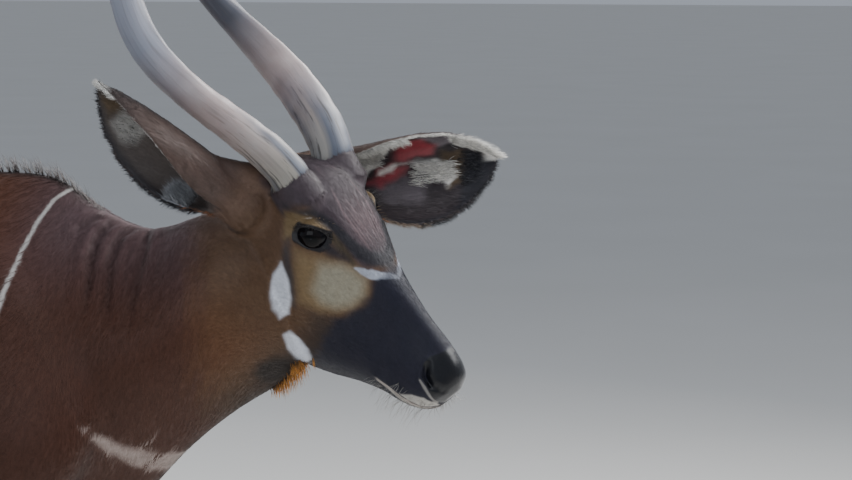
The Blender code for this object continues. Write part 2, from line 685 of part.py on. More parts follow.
def whole_skin():
    pieces = [trunk_loft(), neck_loft(), head_loft()]
    for side in ("left", "right"):
        pieces.append(leg_loft("front", FRONT_LEG, side, FRONT_STEP[side]))
        pieces.append(leg_loft("hind", HIND_LEG, side, HIND_STEP[side]))
        pieces.append(tendon(side))
        pieces.extend(dewclaws(FRONT_LEG, side, FRONT_STEP[side]))
        pieces.extend(dewclaws(HIND_LEG, side, HIND_STEP[side]))
    skin = merged("skin", pieces)
    melt(skin, BODY_CELL, BODY_ROUNDS)
    soften(skin)
    skin.data.vertices.foreach_set("co", shape_body(coordinates(skin.data)).ravel())
    thin_out(skin, BODY_FACES)
    return skin


def head_skin():
    skin = merged("head", [neck_loft(), head_loft(), stump("left"), stump("right")])
    melt(skin, HEAD_CELL, HEAD_ROUNDS)
    shape_head(skin)
    thin_out(skin, HEAD_FACES)
    return skin


def cut_skin():
    """The nodes of flesh but the ears and tail, parted with thin cuts."""
    skin = whole_skin()
    nodes = {}
    head = head_skin()
    at, normal = Vector(HEAD_CUT[0]), Vector(HEAD_CUT[1]).normalized()
    boolean(head, half_space("cut", at + normal * GAP / 2, normal), "DIFFERENCE")
    nodes["head"] = head
    for end in ("front", "hind"):
        for side in ("left", "right"):
            name = f"leg_{end}_{side}"
            nodes[name] = copy_of(skin, name)
            boolean(nodes[name], limb_block("cut", end, side, 0.0), "INTERSECT")
            boolean(skin, limb_block("cut", end, side, GAP), "DIFFERENCE")
    back = half_space("cut", at - normal * GAP / 2, -normal)
    boolean(skin, back, "DIFFERENCE")
    at, normal = Vector(NECK_CUT[0]), Vector(NECK_CUT[1]).normalized()
    nodes["neck"] = copy_of(skin, "neck")
    boolean(nodes["neck"], half_space("cut", at + normal * GAP / 2, normal), "DIFFERENCE")
    boolean(skin, half_space("cut", at - normal * GAP / 2, -normal), "DIFFERENCE")
    skin.name = "torso"
    nodes["torso"] = skin
    return nodes


def eye(side, head):
    bpy.ops.mesh.primitive_uv_sphere_add(segments=EYE_POINTS, ring_count=EYE_POINTS // 2, radius=EYE_RADIUS)
    obj = bpy.context.object
    obj.name = f"eye_{side}"
    at = Vector(EYE_AT)
    aim = Vector(EYE_AIM)
    if side == "right":
        at.y, aim.y = -at.y, -aim.y
    turn = aim.to_track_quat("Z", "Y").to_matrix().to_4x4()
    obj.data.transform(HEAD_FRAME @ Matrix.Translation(at) @ turn)
    boolean(head, grown(obj, GAP), "DIFFERENCE")
    return obj


def horn(side, head):
    path = np.array(HORN)
    if side == "right":
        path = path * (1, -1, 1)
    length = np.linalg.norm(np.diff(path, axis=0), axis=1).sum()
    path = smooth_rows(path, length / HORN_RINGS)
    run = np.concatenate([[0], np.cumsum(np.linalg.norm(np.diff(path, axis=0), axis=1))])
    radii = np.interp(run / run[-1], HORN_SHARES, HORN_RADII)
    turns = -HORN_TURNS if side == "left" else HORN_TURNS
    obj = tube(f"horn_{side}", path, radii, HORN_POINTS, HORN_KEEL, turns)
    obj.data.transform(HEAD_FRAME)
    boolean(obj, grown(head, GAP), "DIFFERENCE")
    largest_only(obj)
    return obj


def ear_axes(side):
    root, along, opening = (np.array(v, float) for v in EARS[side])
    along = unit(along)
    opening = unit(opening - along * along.dot(opening))
    across = np.cross(along, opening) * (1 if side == "left" else -1)
    return root, along, opening, across


def ear_pieces(side):
    """The open cup of an ear, a sheet that is thickened, and the stalk that carries it."""
    root, along, opening, across = ear_axes(side)
    verts = []
    for i in range(EAR_STEPS + 1):
        u = i / EAR_STEPS
        radius = np.interp(u, EAR_SHARES, EAR_RADII) * EAR_SPREAD[side]
        half = math.radians(np.interp(u, EAR_SHARES, EAR_ANGLES)) * EAR_CURL[side]
        wave = math.sin(math.pi * u)
        bend = (opening * EAR_BOW + across * EAR_SAG[side]) * wave
        centre = root + along * EAR_LENGTH[side] * u + bend
        centre = centre + opening * (radius - EAR_RADII[0] * EAR_SPREAD[side]) * EAR_DEEP
        for k in range(EAR_ACROSS + 1):
            angle = half * (2 * k / EAR_ACROSS - 1)
            round_it = across * math.sin(angle) - opening * EAR_DEEP * math.cos(angle)
            verts.append(centre + radius * round_it)
    faces = []
    row = EAR_ACROSS + 1
    for i in range(EAR_STEPS):
        for k in range(EAR_ACROSS):
            a = i * row + k
            faces.append((a, a + 1, a + row + 1, a + row))
    cup = mesh_object("cup", verts, faces)
    solid = cup.modifiers.new("thick", "SOLIDIFY")
    solid.thickness = EAR_THICK
    solid.offset = 0.0
    apply_modifiers(cup)
    inside = np.array(EAR_INSIDE)
    if side == "right":
        inside[1] = -inside[1]
    path = [inside] + [root + along * at for at in STALK_AT]
    stalk = tube("stalk", path, STALK_RADII, STALK_POINTS)
    return [cup, stalk]


def ear(side, neighbours):
    """An ear, cut back from what it meets."""
    obj = merged(f"ear_{side}", ear_pieces(side))
    melt(obj, HEAD_CELL, EAR_ROUNDS)
    thin_out(obj, EAR_FACES)
    obj.data.transform(HEAD_FRAME)
    for other in neighbours:
        boolean(obj, grown(other, GAP), "DIFFERENCE")
    largest_only(obj)
    return obj


def tail(torso):
    rng = random.Random(4)
    path = smooth_rows([p + (r,) for p, r in zip(TAIL, TAIL_RADII)], TAIL_RING)
    obj = tube("tail", path[:, :3], path[:, 3], TAIL_POINTS)
    locks = []
    for i in range(TUFT_LOCKS):
        share = (i + 0.5) / TUFT_LOCKS
        z = TUFT_TOP - TUFT_SPAN * share
        k = int(np.argmin(abs(path[:, 2] - z)))
        angle = TUFT_TURN * i
        out = np.array((math.cos(angle), math.sin(angle), 0.0))
        root = path[k, :3] + out * 0.003
        root[2] = z
        length = TUFT_LENGTH * (0.75 + 0.3 * rng.random())
        flat = np.cross(out, (0, 0, 1.0))
        along, bend = out * 0.35 + (0, 0, -1.0), -out * 0.10 + (0, 0, -1.0)
        locks.append(lock(root, along, bend, flat, length, TUFT_WIDTH, TUFT_THICK))
    fuse(obj, "tail_locks", locks)
    boolean(obj, grown(torso, GAP), "DIFFERENCE")
    largest_only(obj)
    return obj


def crest(torso):
    """Bristles along the back, leaning to the tail, highest over the middle."""
    rng = random.Random(7)
    rows = smooth_rows([(t[0], 0.0, t[1]) for t, _, _ in TRUNK], 0.02)
    order = np.argsort(rows[:, 0])
    locks = []
    for i, x in enumerate(np.arange(CREST_FROM, CREST_TO, -CREST_STEP)):
        z = np.interp(x, rows[order, 0], rows[order, 2])
        share = (CREST_FROM - x) / (CREST_FROM - CREST_TO)
        length = CREST_LENGTH * (0.6 + 1.6 * share * (1 - share)) * (0.9 + 0.2 * rng.random())
        aside = CREST_ASIDE * (-1) ** i
        root = (x, aside, z - CREST_ROOT)
        along, bend = (-0.60, aside * 8, 1.0), (-1.0, aside * 12, 0.30)
        locks.append(lock(root, along, bend, (1, 0, 0.3), length, CREST_WIDTH, CREST_THICK, 3))
    fuse(torso, "crest_locks", locks)


def throat_fringe(head):
    """Short locks that hang from the throat, behind the jaw."""
    rng = random.Random(3)
    locks = []
    for row in (-1, 0, 1):
        for i in range(FRINGE_COUNT):
            share = (i + 0.5) / FRINGE_COUNT
            root = np.array(FRINGE_FROM) * (1 - share) + np.array(FRINGE_TO) * share
            root[1] += row * FRINGE_ASIDE
            root[2] += abs(row) * 0.012
            length = FRINGE_LENGTH * (0.8 + 0.4 * rng.random())
            along, bend = (-0.25, row * 0.25, -1.0), (-0.55, row * 0.10, -1.0)
            locks.append(lock(root, along, bend, (1.0, 0.3, 0.0), length, FRINGE_WIDTH, FRINGE_THICK, 3))
    fuse(head, "fringe_locks", locks)


def claws(end, side, leg):
    """The two claws of a hoof, flat below, under a slanting cut through the foot."""
    table, steps = (FRONT_LEG, FRONT_STEP) if end == "front" else (HIND_LEG, HIND_STEP)
    z, x, _, y, _ = table[-1]
    sign = 1 if side == "left" else -1
    x = foot_x(x, z, steps[side])
    slope = math.radians(HOOF_TOP_SLOPE)
    normal = Vector((-math.sin(slope), 0, math.cos(slope)))
    at = Vector((x, sign * y, HOOF_TOP))
    boolean(leg, half_space("cut", at, normal), "DIFFERENCE")
    made = []
    for toe in ("inner", "outer"):
        turn = sign if toe == "outer" else -sign
        rings = []
        for height, front, back, near, far in CLAW:
            ring = []
            for k in range(CLAW_POINTS):
                angle = 2 * math.pi * k / CLAW_POINTS
                along = math.cos(angle)
                px = (front + back) / 2 + (front - back) / 2 * along
                narrow = 1 - 0.42 * max(0.0, along) ** 2
                width = (far - near) * abs(math.sin(angle)) ** 0.8 * narrow
                py = near + (width if math.sin(angle) > 0 else 0.12 * (1 - abs(along)) * (far - near))
                ring.append((x + px, sign * y + turn * py, height))
            rings.append(ring)
        obj = loft(f"hoof_{end}_{side}_{toe}", rings)
        boolean(obj, half_space("cut", at - normal * GAP, -normal), "DIFFERENCE")
        made.append(obj)
    return made


def material(name, colour, roughness, coat=0.0):
    made = bpy.data.materials.new(name)
    made.use_nodes = True
    shader = made.node_tree.nodes["Principled BSDF"]
    shader.inputs["Base Color"].default_value = (*colour, 1.0)
    shader.inputs["Roughness"].default_value = roughness
    shader.inputs["Metallic"].default_value = 0.0
    shader.inputs["Coat Weight"].default_value = coat
    return made


def finish(nodes):
    """Names, materials, collection and the move to the middle of the box."""
    home = bpy.data.collections.new("bongo_antelope")
    bpy.context.scene.collection.children.link(home)
    looks = {
        "horn": (HORN_COLOUR, 0.45, 0.0),
        "hoof": (HOOF_COLOUR, 0.40, 0.0),
        "eye": (EYE_COLOUR, 0.08, 1.0),
        "tail": (DARK_COAT, 0.80, 0.0),
    }
    for name, obj in nodes.items():
        obj.name = name
        obj.data.name = name
        colour, roughness, coat = looks.get(name.split("_")[0], (COAT, 0.75, 0.0))
        obj.data.materials.clear()
        obj.data.materials.append(material(name, colour, roughness, coat))
        obj.data.transform(Matrix.Translation((-MIDDLE_X, -MIDDLE_Y, 0.0)))
        obj.data.shade_smooth()
        obj.data.set_sharp_from_angle(angle=math.radians(40))
        for group in list(obj.users_collection):
            group.objects.unlink(obj)
        home.objects.link(obj)


def main():
    clear_scene()
    nodes = cut_skin()
    head = nodes["head"]
    for side in ("left", "right"):
        nodes[f"horn_{side}"] = horn(side, head)
        nodes[f"ear_{side}"] = ear(side, (head, nodes["neck"], nodes[f"horn_{side}"]))
    for side in ("left", "right"):
        nodes[f"eye_{side}"] = eye(side, head)
    throat_fringe(head)
    nodes["tail"] = tail(nodes["torso"])
    crest(nodes["torso"])
    for end in ("front", "hind"):
        for side in ("left", "right"):
            for claw in claws(end, side, nodes[f"leg_{end}_{side}"]):
                nodes[claw.name] = claw
    for name, obj in nodes.items():
        if name == "neck" or name.startswith("leg"):
            largest_only(obj)
    finish(nodes)


main()
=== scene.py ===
"""Looks of the life-size bongo antelope: one skin, its coat, horns, eyes, hooves and a studio.

Metres, +Z up, +X towards the head, +Y towards the animal's left. The shapes repeat the named
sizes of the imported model, at a finer grain. Sizes along X and Y are measured from the withers,
and the parts of the head in the head's own frame, until a mesh is moved to the middle of the box.
"""

import math

import bmesh
import bpy
import numpy as np
from bpy.props import FloatProperty, FloatVectorProperty, IntProperty, PointerProperty
from mathutils import Matrix, Vector
from mathutils.bvhtree import BVHTree


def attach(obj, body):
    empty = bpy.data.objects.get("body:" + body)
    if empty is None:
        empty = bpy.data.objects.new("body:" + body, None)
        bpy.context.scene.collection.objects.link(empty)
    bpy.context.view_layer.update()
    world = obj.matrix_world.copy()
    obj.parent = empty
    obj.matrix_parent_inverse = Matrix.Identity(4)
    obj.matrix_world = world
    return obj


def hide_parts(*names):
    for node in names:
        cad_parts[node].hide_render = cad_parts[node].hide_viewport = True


bl_info = {
    "name": "Bongo Antelope",
    "version": (1, 0, 0),
    "blender": (4, 5, 0),
    "location": "View3D > Sidebar > Bongo",
    "description": "Skin, coat, horns, eyes, hooves and studio of a life-size bongo antelope",
    "category": "Add Mesh",
}

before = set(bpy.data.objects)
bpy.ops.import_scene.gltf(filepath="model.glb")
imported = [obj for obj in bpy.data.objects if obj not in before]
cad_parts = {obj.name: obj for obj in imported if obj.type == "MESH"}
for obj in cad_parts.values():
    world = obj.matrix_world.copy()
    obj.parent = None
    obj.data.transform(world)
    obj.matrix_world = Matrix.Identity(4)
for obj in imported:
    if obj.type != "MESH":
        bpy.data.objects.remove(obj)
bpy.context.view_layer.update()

# Where the withers lie from the middle of the box
WITHERS = Vector((0.2524, -0.0161, 0.0))
HEAD_AT = Vector((0.478, 0.0204, 1.068))
HEAD_TURN, HEAD_DIP, HEAD_TILT = 3.0, 49.0, 20.0

# Parts of the head, in its own frame: x to the nose, y to the left, z out of the forehead
EYE_AT = (-0.0464, 0.0511, -0.0166)
EYE_AIM, EYE_CORNER, EYE_RADIUS = (0.25, 0.88, 0.40), (0.795, -0.473, 0.381), 0.0215
LID_LENGTH, LID_HEIGHT = 0.0208, 0.0120
# How far the skin stands from the eyeball, at shares of the lids' opening
LID_AT = (0.0, 0.93, 1.00, 1.07, 1.25, 1.60)
LID_REACH = (-0.0060, -0.0040, 0.0004, 0.0020, 0.0032, 0.0022)
LID_FADE = (0.026, 0.042)
# Creases of the upper lid: share of the opening, half width and depth
LID_CREASES = ((1.62, 0.0012, 0.0018), (2.15, 0.0015, 0.0018))
NOSTRIL = ((0.167, 0.0320, -0.0215), (0.177, 0.0340, -0.0315), (0.190, 0.0300, -0.0360),
           (0.201, 0.0220, -0.0350))
MOUTH = ((0.140, 0.0430, -0.0910), (0.160, 0.0420, -0.0850), (0.180, 0.0380, -0.0815),
         (0.198, 0.0270, -0.0745), (0.210, 0.0120, -0.0680), (0.214, 0.0, -0.0660))
PHILTRUM = ((0.206, 0.0, -0.030), (0.217, 0.0, -0.045), (0.217, 0.0, -0.062))

FACE_FROM, HEAD_MIDDLE = -0.140, -0.075
# Swells and hollows of the face: middle on the left side, radius and how far they stand out
FACE_FORMS = (
    ((-0.034, 0.066, 0.010), 0.024, 0.0045),
    ((-0.040, 0.068, -0.120), 0.050, 0.0050),
    ((0.000, 0.062, -0.062), 0.022, 0.0030),
    ((0.050, 0.052, -0.100), 0.035, -0.0040),
    ((-0.090, 0.072, -0.040), 0.022, -0.0030),
)
# Grooves of the face: line, half width and depth, and half width and height of the rims
FACE_GROOVES = (
    (NOSTRIL, 0.0046, 0.0110, 0.0110, 0.0026),
    (MOUTH, 0.0022, 0.0045, 0.0085, 0.0018),
    (PHILTRUM, 0.0016, 0.0018, 0.0060, 0.0008),
)

# Sections of the trunk from the buttock to the base of the neck: the top x and z, the bottom
# x and z, and the half width at the top, a quarter down, half way, three quarters and the bottom
TRUNK = (
    ((-1.036, 1.062), (-1.046, 0.935), (0.024, 0.032, 0.035, 0.030, 0.022)),
    ((-1.022, 1.090), (-1.046, 0.860), (0.044, 0.064, 0.070, 0.060, 0.042)),
    ((-0.985, 1.122), (-1.020, 0.760), (0.076, 0.106, 0.116, 0.096, 0.060)),
    ((-0.905, 1.155), (-0.950, 0.690), (0.096, 0.148, 0.160, 0.140, 0.086)),
    ((-0.780, 1.170), (-0.820, 0.655), (0.100, 0.170, 0.190, 0.170, 0.100)),
    ((-0.620, 1.158), (-0.640, 0.640), (0.092, 0.175, 0.212, 0.200, 0.120)),
    ((-0.450, 1.140), (-0.450, 0.606), (0.085, 0.170, 0.226, 0.226, 0.136)),
    ((-0.280, 1.134), (-0.270, 0.590), (0.078, 0.162, 0.226, 0.228, 0.136)),
    ((-0.130, 1.141), (-0.110, 0.590), (0.062, 0.144, 0.208, 0.206, 0.120)),
    ((-0.020, 1.147), (0.025, 0.606), (0.054, 0.124, 0.184, 0.176, 0.095)),
    ((0.050, 1.138), (0.118, 0.652), (0.050, 0.110, 0.158, 0.148, 0.080)),
    ((0.107, 1.102), (0.182, 0.735), (0.050, 0.096, 0.132, 0.122, 0.074)),
)
# The neck goes on from the last trunk section. Its tops and bottoms leave the middle plane
NECK = (
    ((0.107, 0.000, 1.102), (0.182, 0.000, 0.735), (0.050, 0.096, 0.132, 0.122, 0.074)),
    ((0.170, 0.000, 1.078), (0.235, 0.003, 0.790), (0.050, 0.088, 0.116, 0.106, 0.066)),
    ((0.235, 0.004, 1.092), (0.293, 0.014, 0.838), (0.050, 0.082, 0.102, 0.094, 0.058)),
    ((0.285, 0.012, 1.112), (0.345, 0.034, 0.874), (0.046, 0.078, 0.092, 0.084, 0.046)),
    ((0.325, 0.018, 1.120), (0.382, 0.048, 0.902), (0.038, 0.068, 0.080, 0.066, 0.034)),
    ((0.355, 0.022, 1.125), (0.402, 0.058, 0.932), (0.026, 0.048, 0.060, 0.048, 0.024)),
)
# Head sections: x, top z, bottom z and the half widths as above
HEAD = (
    (-0.184, -0.072, -0.104, (0.012, 0.020, 0.024, 0.020, 0.012)),
    (-0.176, -0.054, -0.122, (0.026, 0.040, 0.046, 0.042, 0.028)),
    (-0.158, -0.026, -0.144, (0.046, 0.060, 0.066, 0.060, 0.040)),
    (-0.130, 0.006, -0.166, (0.060, 0.070, 0.075, 0.070, 0.044)),
    (-0.095, 0.027, -0.204, (0.072, 0.077, 0.078, 0.070, 0.036)),
    (-0.060, 0.026, -0.224, (0.083, 0.086, 0.080, 0.066, 0.030)),
    (-0.028, 0.021, -0.231, (0.083, 0.086, 0.078, 0.062, 0.027)),
    (0.010, 0.014, -0.228, (0.066, 0.074, 0.072, 0.057, 0.025)),
    (0.050, 0.007, -0.211, (0.045, 0.057, 0.062, 0.050, 0.024)),
    (0.090, 0.003, -0.181, (0.032, 0.043, 0.052, 0.044, 0.024)),
    (0.125, 0.000, -0.147, (0.026, 0.037, 0.046, 0.041, 0.026)),
    (0.155, -0.001, -0.124, (0.025, 0.036, 0.043, 0.039, 0.027)),
    (0.178, -0.003, -0.112, (0.024, 0.036, 0.042, 0.038, 0.027)),
    (0.196, -0.008, -0.100, (0.022, 0.033, 0.037, 0.033, 0.024)),
    (0.208, -0.017, -0.088, (0.018, 0.026, 0.029, 0.026, 0.018)),
    (0.216, -0.032, -0.074, (0.008, 0.013, 0.014, 0.012, 0.008)),
)
# Legs: height, middle x, half length fore and aft, middle y and half width
FRONT_LEG = (
    (1.060, -0.030, 0.050, 0.062, 0.022),
    (1.010, -0.020, 0.092, 0.086, 0.046),
    (0.920, 0.015, 0.126, 0.111, 0.068),
    (0.820, 0.040, 0.126, 0.124, 0.076),
    (0.730, 0.010, 0.106, 0.130, 0.072),
    (0.650, -0.034, 0.088, 0.130, 0.062),
    (0.580, -0.042, 0.068, 0.127, 0.051),
    (0.510, -0.038, 0.052, 0.123, 0.042),
    (0.440, -0.034, 0.041, 0.120, 0.035),
    (0.385, -0.030, 0.035, 0.118, 0.032),
    (0.338, -0.025, 0.038, 0.118, 0.036),
    (0.295, -0.027, 0.032, 0.118, 0.030),
    (0.245, -0.030, 0.025, 0.118, 0.0225),
    (0.165, -0.030, 0.0235, 0.118, 0.0215),
    (0.122, -0.029, 0.030, 0.118, 0.027),
    (0.090, -0.018, 0.027, 0.118, 0.026),
    (0.060, -0.004, 0.031, 0.118, 0.031),
    (0.030, 0.004, 0.034, 0.118, 0.032),
)
HIND_LEG = (
    (1.120, -0.850, 0.080, 0.060, 0.030),
    (1.060, -0.860, 0.135, 0.084, 0.058),
    (0.960, -0.865, 0.160, 0.108, 0.076),
    (0.860, -0.848, 0.166, 0.122, 0.080),
    (0.760, -0.826, 0.152, 0.128, 0.074),
    (0.670, -0.838, 0.118, 0.126, 0.062),
    (0.590, -0.872, 0.082, 0.122, 0.050),
    (0.520, -0.912, 0.058, 0.118, 0.039),
    (0.465, -0.944, 0.047, 0.116, 0.032),
    (0.420, -0.957, 0.045, 0.115, 0.032),
    (0.370, -0.950, 0.036, 0.115, 0.029),
    (0.300, -0.940, 0.028, 0.115, 0.0235),
    (0.185, -0.930, 0.0255, 0.115, 0.0225),
    (0.126, -0.923, 0.031, 0.115, 0.027),
    (0.092, -0.909, 0.028, 0.115, 0.026),
    (0.060, -0.894, 0.031, 0.115, 0.031),
    (0.030, -0.886, 0.034, 0.115, 0.032),
)
# Swells and hollows of the body: middle on the left side, radius and how far they stand out
BODY_FORMS = (
    ((0.000, 0.150, 0.990), 0.100, 0.005),
    ((0.130, 0.130, 0.790), 0.060, 0.010),
    ((0.040, 0.185, 0.800), 0.070, 0.008),
    ((-0.125, 0.210, 0.830), 0.075, -0.012),
    ((-0.055, 0.150, 1.060), 0.060, -0.006),
    ((-0.610, 0.205, 0.985), 0.090, -0.014),
    ((-0.700, 0.165, 1.085), 0.050, 0.009),
    ((-0.700, 0.185, 0.735), 0.060, 0.012),
    ((-0.610, 0.190, 0.700), 0.060, -0.012),
    ((-0.840, 0.190, 0.900), 0.110, 0.008),
    ((-0.960, 0.100, 0.980), 0.055, 0.008),
    ((-0.930, 0.170, 0.760), 0.070, -0.008),
    ((0.100, 0.120, 0.930), 0.060, -0.008),
)
# Heel tendon of the hind leg: x, y, z and radius down to the point of the hock
TENDON = (
    (-0.905, 0.124, 0.640, 0.020), (-0.952, 0.118, 0.555, 0.015), (-0.990, 0.116, 0.490, 0.015),
    (-1.002, 0.115, 0.452, 0.017), (-0.985, 0.115, 0.405, 0.014), (-0.966, 0.115, 0.340, 0.012),
)
# Small claws behind each fetlock: back and out from its middle, height and radius
DEWCLAW = (0.036, 0.015, 0.104, 0.0125)
FRONT_STEP = {"left": -0.040, "right": 0.025}
HIND_STEP = {"left": 0.030, "right": -0.040}
LEGS = {"front": (FRONT_LEG, FRONT_STEP), "hind": (HIND_LEG, HIND_STEP)}
STEP_FROM = 0.80
SIDES = (("left", 1), ("right", -1))
HEAD_CUT = ((0.270, 0.0, 1.130), (0.97, 0.05, 0.20))
HOOF_TOP, HOOF_TOP_SLOPE = 0.056, 22.0

# Claws of a hoof: height, how far the claw reaches forward and back, and its inner and outer sides
CLAW = (
    (0.0000, 0.052, -0.037, 0.0025, 0.0375),
    (0.0120, 0.050, -0.038, 0.0022, 0.0370),
    (0.0280, 0.043, -0.037, 0.0020, 0.0350),
    (0.0440, 0.034, -0.035, 0.0020, 0.0330),
    (0.0800, 0.016, -0.030, 0.0020, 0.0290),
)

# Horns: points along the left one in the head frame, and its radius at shares of its length
HORN = (
    (-0.104, 0.034, -0.040), (-0.117, 0.044, 0.004), (-0.153, 0.055, 0.013), (-0.190, 0.065, 0.011),
    (-0.227, 0.074, 0.006), (-0.264, 0.081, -0.001), (-0.303, 0.084, -0.007), (-0.342, 0.084, -0.011),
    (-0.382, 0.079, -0.010), (-0.422, 0.069, -0.002), (-0.463, 0.060, 0.014), (-0.510, 0.056, 0.041),
    (-0.568, 0.062, 0.084), (-0.627, 0.077, 0.130), (-0.688, 0.096, 0.174), (-0.752, 0.110, 0.212),
)
HORN_SHARES = (0.0, 0.10, 0.22, 0.35, 0.50, 0.65, 0.80, 0.92, 1.0)
HORN_RADII = (0.0275, 0.0268, 0.0240, 0.0212, 0.0178, 0.0142, 0.0102, 0.0062, 0.0022)
HORN_TURNS, HORN_KEEL, KEEL_WIDTH = 1.0, 0.16, 0.55
STUMP = ((-0.060, 0.036, -0.026), (-0.088, 0.042, -0.004), (-0.117, 0.046, 0.002))
STUMP_RADII = (0.024, 0.034, 0.030)

# Ears: root, the way the ear points and the way its cup opens, in the head frame
EARS = {
    "right": ((-0.141, -0.074, -0.061), (-0.941, -0.312, -0.130), (0.337, -0.844, -0.418)),
    "left": ((-0.137, 0.077, -0.072), (0.553, 0.656, 0.505), (0.294, -0.748, 0.589)),
}
EAR_INSIDE = (-0.110, 0.020, -0.080)
EAR_LENGTH = {"right": 0.227, "left": 0.257}
EAR_SPREAD = {"right": 1.10, "left": 1.0}
EAR_CURL = {"right": 1.06, "left": 1.0}
EAR_SAG = {"right": -0.026, "left": 0.014}
EAR_BOW, EAR_DEEP, EAR_THICK = 0.010, 0.85, 0.0055
EAR_SHARES = (0.0, 0.12, 0.25, 0.40, 0.55, 0.70, 0.84, 0.94, 1.0)
EAR_RADII = (0.028, 0.032, 0.041, 0.052, 0.060, 0.060, 0.048, 0.028, 0.009)
EAR_ANGLES = (160, 146, 122, 98, 82, 72, 64, 56, 50)
STALK_AT, STALK_RADII = (-0.012, 0.022, 0.048), (0.038, 0.036, 0.027, 0.012)
# Skin between the poll and the upper rim of the near ear, which is swung back
EAR_WEB = ((-0.140, -0.050, -0.030), (-0.163, -0.078, -0.028), (-0.186, -0.094, -0.030),
           (-0.210, -0.106, -0.031))
EAR_WEB_RADII = (0.022, 0.017, 0.011, 0.005)
ROOT_REACH, ROOT_ROUNDS = 0.040, 45

# Tail: points down its middle and its radii
TAIL = ((-0.985, 0.0, 1.050), (-1.035, 0.0, 1.052), (-1.072, 0.002, 1.010), (-1.084, 0.004, 0.930),
        (-1.086, 0.005, 0.840), (-1.082, 0.005, 0.750), (-1.078, 0.004, 0.680), (-1.075, 0.003, 0.620))
TAIL_RADII = (0.028, 0.027, 0.022, 0.017, 0.014, 0.012, 0.011, 0.008)

# Folds of skin on the neck, which the raised head pushes up: the crease line on the right side
NECK_FOLDS = (
    ((0.123, -0.012, 1.090), (0.109, -0.027, 1.086), (0.100, -0.040, 1.078), (0.100, -0.058, 1.055)),
    ((0.135, -0.010, 1.088), (0.128, -0.031, 1.075), (0.125, -0.045, 1.060), (0.129, -0.065, 1.037),
     (0.134, -0.078, 1.016), (0.140, -0.095, 0.980), (0.150, -0.108, 0.940)),
    ((0.162, -0.010, 1.077), (0.153, -0.027, 1.069), (0.150, -0.040, 1.058), (0.153, -0.056, 1.040),
     (0.159, -0.072, 1.020), (0.168, -0.092, 0.985), (0.178, -0.106, 0.945)),
    ((0.180, 0.002, 1.078), (0.190, -0.035, 1.058), (0.198, -0.070, 1.018), (0.204, -0.100, 0.965),
     (0.203, -0.111, 0.935)),
)
FOLD_STRENGTH = (0.7, 1.0, 1.0, 0.6)
FOLD_HALF_WIDTH, FOLD_DEPTH, FOLD_SWELL_WIDTH, FOLD_SWELL = 0.0048, 0.0040, 0.0130, 0.0032

# How far the skin lies under the coat's surface
COAT_DEPTH = {"body": 0.0022, "leg": 0.0016, "face": 0.0010, "ear": 0.0008}
# Skin: size of the cells it is melted at, triangles left on the trunk and legs, and smoothing
# rounds on legs and neck, on the trunk and on the head
SKIN_CELL, SKIN_KEEP, SKIN_BODY_FACES, STRIPE_HOLD = 0.0030, 0.46, 50000, 0.003
LEG_ROUNDS, TRUNK_ROUNDS, HEAD_ROUNDS = 32, 209, 5
SOFT_HEIGHT, SOFT_AHEAD = (0.50, 0.70), (0.12, 0.24)
TRUNK_SQUARE, HEAD_SQUARE, LEG_SQUARE = 2.2, 2.6, 2.1

# Sides and rings of the horns, eyes and claws, and the most tufts in a piece of the coat
HORN_SIDES, EYE_RINGS, EYE_SIDES, CLAW_SIDES, PIECE_TUFTS = 64, 48, 64, 48, 48000
# Hairs of the crest, tail, throat and lashes, and the starts of the random draws
CREST_COUNT, TAIL_COUNT, THROAT_COUNT, LASH_COUNT = 2500, 1500, 520, 60
COAT_SEED, LONG_HAIR_SEED = 11, 23
# Camera, from the withers
CAMERA_AT = (1.5539, -2.4462, 1.41)
HEAD_SEEN, FLANK_SEEN = (0.70, 0.0, 1.05), (0.3, 0.0, 0.9)
# Lights: name, place, what they are aimed at, width and height, power and colour
LIGHTS = (
    ("key", (2.95, 1.20, 2.95), HEAD_SEEN, (2.0, 1.6), 95.0, (0.98, 0.99, 1.0)),
    ("top", (1.6, -0.4, 3.60), HEAD_SEEN, (1.4, 1.2), 22.0, (0.97, 0.98, 1.0)),
    ("rim", (1.30, 2.40, 2.70), HEAD_SEEN, (1.6, 1.4), 88.0, (1.0, 0.99, 0.97)),
    ("fill", (0.4, -3.4, 2.6), FLANK_SEEN, (3.0, 2.4), 33.0, (0.90, 0.95, 1.0)),
    ("back", (-3.2, 1.5, 2.8), (-0.4, 0.0, 0.9), (2.2, 2.2), 45.0, (0.95, 0.97, 1.0)),
)

# Numbers that the parts of the skin carry
BODY, FACE, EAR_RIGHT, EAR_LEFT = 0, 1, 2, 3
EAR_PARTS = (("right", EAR_RIGHT), ("left", EAR_LEFT))
FLESH = ["head", "neck", "torso", "tail", "ear_left", "ear_right"]
FLESH += [f"leg_{end}_{side}" for end in ("front", "hind") for side in ("left", "right")]


def linear(hex_colour):
    """A colour written as sRGB hex, turned to linear light."""
    parts = [int(hex_colour[i:i + 2], 16) / 255 for i in (1, 3, 5)]
    return tuple(c / 12.92 if c <= 0.04045 else ((c + 0.055) / 1.055) ** 2.4 for c in parts)


